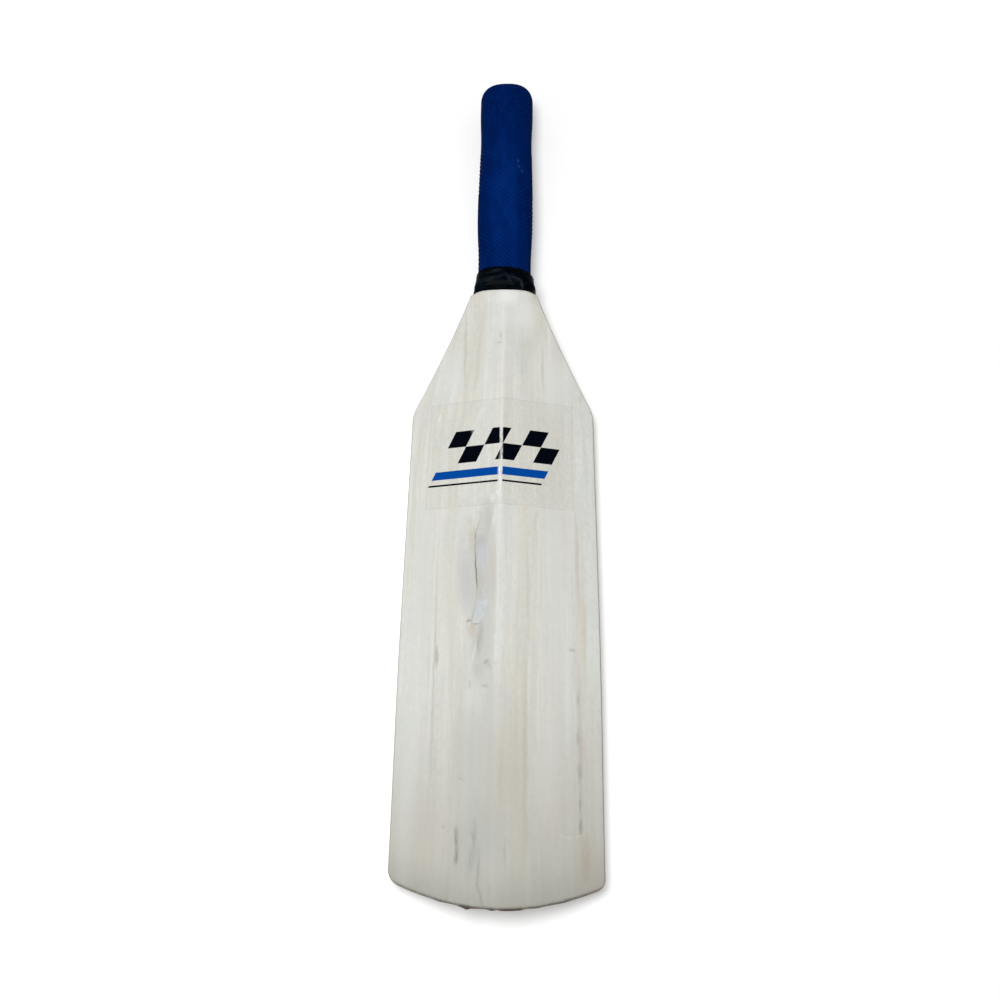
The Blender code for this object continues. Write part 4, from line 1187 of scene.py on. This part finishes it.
def build_grip(finish):
    """Closed-end sleeve whose points run along the ribs, raised by the rib tree."""
    around = RIB_COUNT * POINTS_PER_RIB
    turns = ring_turns(flat_steps=40, side_steps=6, edge_steps=20)
    rings = []
    reaches = []

    # The domed end
    start = BUTT_Y - GRIP_END_RADIUS - GRIP_END_CROWN
    widest = respaced(*grip_outline(start, turns), around)
    for i in range(DOME_RINGS, -1, -1):
        turn = math.pi / 2 * i / DOME_RINGS
        x, z = shrunk(*widest, GRIP_END_RADIUS * (1 - math.cos(turn)))
        rings.append(ring_at(x, start + GRIP_END_RADIUS * math.sin(turn), z))
        reaches.append(0.0)

    # The plain end and the bands, whose points turn with the ribs
    heights = steps(start, RIBS_END_Y, 14)[1:] + steps(RIBS_END_Y, RIBS_END_Y - RIB_FADE, 4)
    for band in range(RIB_BANDS):
        top = RIBS_END_Y - band * RIB_BAND - (RIB_FADE if band == 0 else 0.0)
        bottom = max(RIBS_END_Y - (band + 1) * RIB_BAND, GRIP_START_Y)
        heights += steps(top, bottom, 16)
    heights.append(GRIP_START_Y)
    turned = 0.0
    for y, lower in zip(heights, heights[1:] + heights[-1:]):
        outline = grip_outline(y, turns)
        x, z = respaced(*outline, around, turned)
        rings.append(ring_at(x, y, z))
        reaches.append(1 - ease(y, RIBS_END_Y - RIB_FADE, RIBS_END_Y))
        if y <= RIBS_END_Y:
            band = int((RIBS_END_Y - (y + lower) / 2) / RIB_BAND)
            lean = math.tan(RIB_LEAN) * (1 if band % 2 else -1)
            turned += lean * (y - lower) / side_lengths(*outline).sum()

    # The bore, up to its closed end
    for y in np.linspace(GRIP_START_Y, CORE_END_Y - CORE_END_CHAMFER, 16):
        bore = grown(*wood_outline(y, turns), SOLID_GAP / 2)
        x, z = respaced(*bore, around, turned)
        rings.append(ring_at(x, y, z))
    bore = grown(*wood_outline(CORE_END_Y, turns), SOLID_GAP / 2)
    x, z = respaced(*shrunk(*bore, CORE_END_CHAMFER), around, turned)
    rings.append(ring_at(x, CORE_END_Y + SOLID_GAP, z))
    reaches += [0.0] * (len(rings) - len(reaches))

    points = list(np.concatenate(rings))
    faces = loft_faces(len(rings), around)
    tip = len(points)
    points += [(0, BUTT_Y, CORE_CENTRE_Z), (0, CORE_END_Y + SOLID_GAP, CORE_CENTRE_Z)]
    last = tip - around
    for i in range(around):
        j = (i + 1) % around
        faces += [(tip, i, j), (tip + 1, last + j, last + i)]
    piece = make_piece("grip_sleeve", points, faces, finish, smooth_below=50)
    turn = np.append(np.tile(np.arange(around) / POINTS_PER_RIB, len(rings)), [0.0, 0.0])
    reach = np.append(np.repeat(reaches, around), [0.0, 0.0])
    give_attribute(piece, "rib_turn", turn)
    give_attribute(piece, "rib_reach", reach)
    crest = (0.5 + 0.5 * np.cos(2 * math.pi * turn)) ** CREST_SHARPNESS
    give_attribute(piece, "rib_crest", crest * reach)
    ribs = piece.modifiers.new("ribs", "NODES")
    ribs.node_group = rib_tree()
    set_inputs(ribs, {"Rib depth": RIB_DEPTH, "Crest sharpness": CREST_SHARPNESS, "Rubber": finish})
    return baked(piece)


# Tape

# Folds in the tape, in millimetres: from (x, y) to (x, y), half width and height
TAPE_FOLDS = (
    ((-12.0, 80.8), (-0.5, 83.6), 1.1, 0.22),
    ((-9.0, 85.4), (-1.0, 87.0), 1.0, 0.2),
    ((3.8, 83.2), (9.4, 81.4), 0.8, 0.34),
    ((9.4, 81.4), (10.8, 76.4), 0.8, 0.28),
    ((0.4, 85.6), (5.4, 78.6), 0.9, 0.2),
    ((-15.0, 79.0), (-10.0, 84.0), 0.9, 0.08),
    ((10.5, 87.5), (14.5, 82.5), 0.9, 0.08),
)

# Height of a fold, in mm, from which its painted highlight is full
FOLD_HIGHLIGHT_FULL = 0.3


def fold_height(x, y):
    """Height of the folds over (x, y), in mm, each highest halfway along."""
    height = np.zeros_like(x)
    for start, end, width, rise in TAPE_FOLDS:
        run = np.subtract(end, start)
        share = np.clip(((x - start[0]) * run[0] + (y - start[1]) * run[1]) / (run @ run), 0, 1)
        apart = np.hypot(x - start[0] - share * run[0], y - start[1] - share * run[1])
        height += rise * hump(apart, 0, width) * (0.4 + 0.6 * np.sin(math.pi * share))
    return height


def build_tape(finish):
    """Two turns of tape pulled in round the neck, with folds where it was pulled tight.

    It sits a little to the right, and its upper edge slants and bows.
    """
    turns = ring_turns(flat_steps=30, side_steps=4, edge_steps=16)
    around = 400
    along = 80
    second = TAPE_START_Y + TAPE_SECOND_TURN
    climb = GRIP_START_Y - TAPE_STEP_RUN
    outer = []
    inner = []
    fold_highlight = []
    for y in np.linspace(TAPE_START_Y, TAPE_END_Y, along):
        over_grip = (grip_wall(y) + SOLID_GAP) * ease(y, climb, GRIP_START_Y)
        wood = wood_outline(y, turns)
        doubled = ease(y, second - TAPE_EDGE_RUN, second + TAPE_EDGE_RUN)
        thickness = TAPE_THICKNESS * mix(0.5, 1.0, doubled)
        inner_x, inner_z = respaced(*grown(*wood, over_grip + SOLID_GAP), around)
        outer_x, outer_z = respaced(*grown(*wood, over_grip + SOLID_GAP + thickness), around)
        pulled = ease(y, second, GRIP_START_Y)
        outer_x = outer_x * (1 + TAPE_SPREAD * pulled / outer_x.max()) + TAPE_SHIFT * pulled
        folds = np.where(outer_z > CORE_CENTRE_Z, fold_height(outer_x / MM, y / MM), 0.0)
        outer_z = outer_z + folds * MM
        # painted highlight on the folds, growing with their height
        fold_highlight.append(np.clip(folds / FOLD_HIGHLIGHT_FULL, 0, 1) ** 1.5)
        share = (y - TAPE_START_Y) / (TAPE_END_Y - TAPE_START_Y)
        half = outer_x.max()
        for rings, x, z in ((inner, inner_x, inner_z), (outer, outer_x, outer_z)):
            bow = TAPE_BOW * (TAPE_BOW_LEVEL - (x / half) ** 2)
            rings.append(ring_at(x, y + share * (bow - TAPE_SLANT * x), z))
    rings = outer + inner[::-1]
    faces = loft_faces(len(rings), around)
    last = (len(rings) - 1) * around
    for i in range(around):
        j = (i + 1) % around
        faces.append((last + i, i, j, last + j))
    faces = [tuple(reversed(face)) for face in faces]
    piece = make_piece("tape_turns", np.concatenate(rings), faces, finish, smooth_below=40)
    give_attribute(piece, "fold_highlight", np.concatenate(fold_highlight + [np.zeros(around * along)]))
    return piece


def build_stage():
    """Pale floor, which keeps the shadow and shows white, and plain soft studio light."""
    scene = bpy.context.scene
    floor = bpy.data.meshes.new("floor")
    signs = ((-1, -1), (1, -1), (1, 1), (-1, 1))
    corners = [(x * FLOOR_REACH, y * FLOOR_REACH, 0) for x, y in signs]
    floor.from_pydata(corners, [], [(0, 1, 2, 3)])
    sheet = bpy.data.objects.new("floor", floor)
    sheet.location.z = -FLOOR_DROP
    scene.collection.objects.link(sheet)

    # White card that shows white to the eye, more lifted where the lamp falls off
    card, tree, shader = new_material("White card floor")
    place = add(tree, "ShaderNodeTexCoord").outputs["Object"]
    under_lamp = (KEY_PLACE[0], KEY_PLACE[1], 0)
    away = add(tree, "ShaderNodeVectorMath", place, under_lamp, operation="SUBTRACT")
    square = add(tree, "ShaderNodeVectorMath", away, away, operation="DOT_PRODUCT")
    growth = add(tree, "MULTIPLY_ADD", square, FLOOR_LIFT_CURVE, FLOOR_LIFT_SLOPE)
    lift = add(tree, "MINIMUM", add(tree, "MULTIPLY_ADD", growth, square, FLOOR_LIFT), 1.0)
    lit = add(tree, "MULTIPLY", lift, seen_directly(tree))
    give(tree, shader, {"Base Color": (0.9, 0.9, 0.9, 1), "Roughness": 0.9,
                        "Specular IOR Level": 0.0, "Emission Color": (1, 1, 1, 1),
                        "Emission Strength": lit})
    floor.materials.append(card)

    world = bpy.data.worlds.new("studio")
    scene.world = world
    world.use_nodes = True
    tree = world.node_tree
    strength = add(tree, "ramp", seen_directly(tree), 0, 1, FILL_LIGHT, 1.0)
    give(tree, tree.nodes["Background"], {"Color": (1, 1, 1, 1), "Strength": strength})

    lamp = bpy.data.lights.new("softbox", "AREA")
    lamp.shape = "DISK"
    lamp.size = KEY_SIZE
    lamp.energy = KEY_POWER
    softbox = bpy.data.objects.new("softbox", lamp)
    softbox.location = KEY_PLACE
    scene.collection.objects.link(softbox)


def seen_directly(tree):
    """1 for what the camera sees, itself or in gloss or glass, and 0 for light on the object."""
    ray = add(tree, "ShaderNodeLightPath").outputs
    seen = add(tree, "MAXIMUM", ray["Is Camera Ray"], ray["Is Glossy Ray"])
    return add(tree, "MAXIMUM", seen, ray["Is Transmission Ray"])


# The photograph's camera: place in metres, degrees turned about X, Y and Z, and its focal
# length as a share of the frame's width
CAMERA_PLACE = (0.01375, -0.20282, 0.41733)
CAMERA_TURNS = (("X", 21.61), ("Y", 1.895), ("Z", 0.108))
CAMERA_FOCUS = 0.860


def build_camera():
    """The photograph's view: from above the blade, tilted towards the handle."""
    lens = bpy.data.cameras.new("camera")
    lens.sensor_fit = "HORIZONTAL"
    lens.sensor_width = 36.0
    lens.lens = CAMERA_FOCUS * lens.sensor_width
    camera = bpy.data.objects.new("camera", lens)
    place = Matrix.Translation(CAMERA_PLACE)
    for axis, degrees in CAMERA_TURNS:
        place = place @ Matrix.Rotation(math.radians(degrees), 4, axis)
    camera.matrix_world = place
    bpy.context.scene.collection.objects.link(camera)
    bpy.context.scene.camera = camera


def main():
    bpy.context.scene.view_settings.view_transform = "Standard"
    for build, material, node, slot in (
            (build_blade, wood_material, "blade", "pale_wood"),
            (build_grip, rubber_material, "rubber_grip", "grip_rubber"),
            (build_tape, tape_material, "neck_tape", "pvc_tape"),
            (build_label, film_material, "label", "clear_film"),
            (build_filler, filler_material, "knot_filler", "wood_filler")):
        piece = build(material())
        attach(piece, "root")
        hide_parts(node)
    build_stage()
    build_camera()


main()
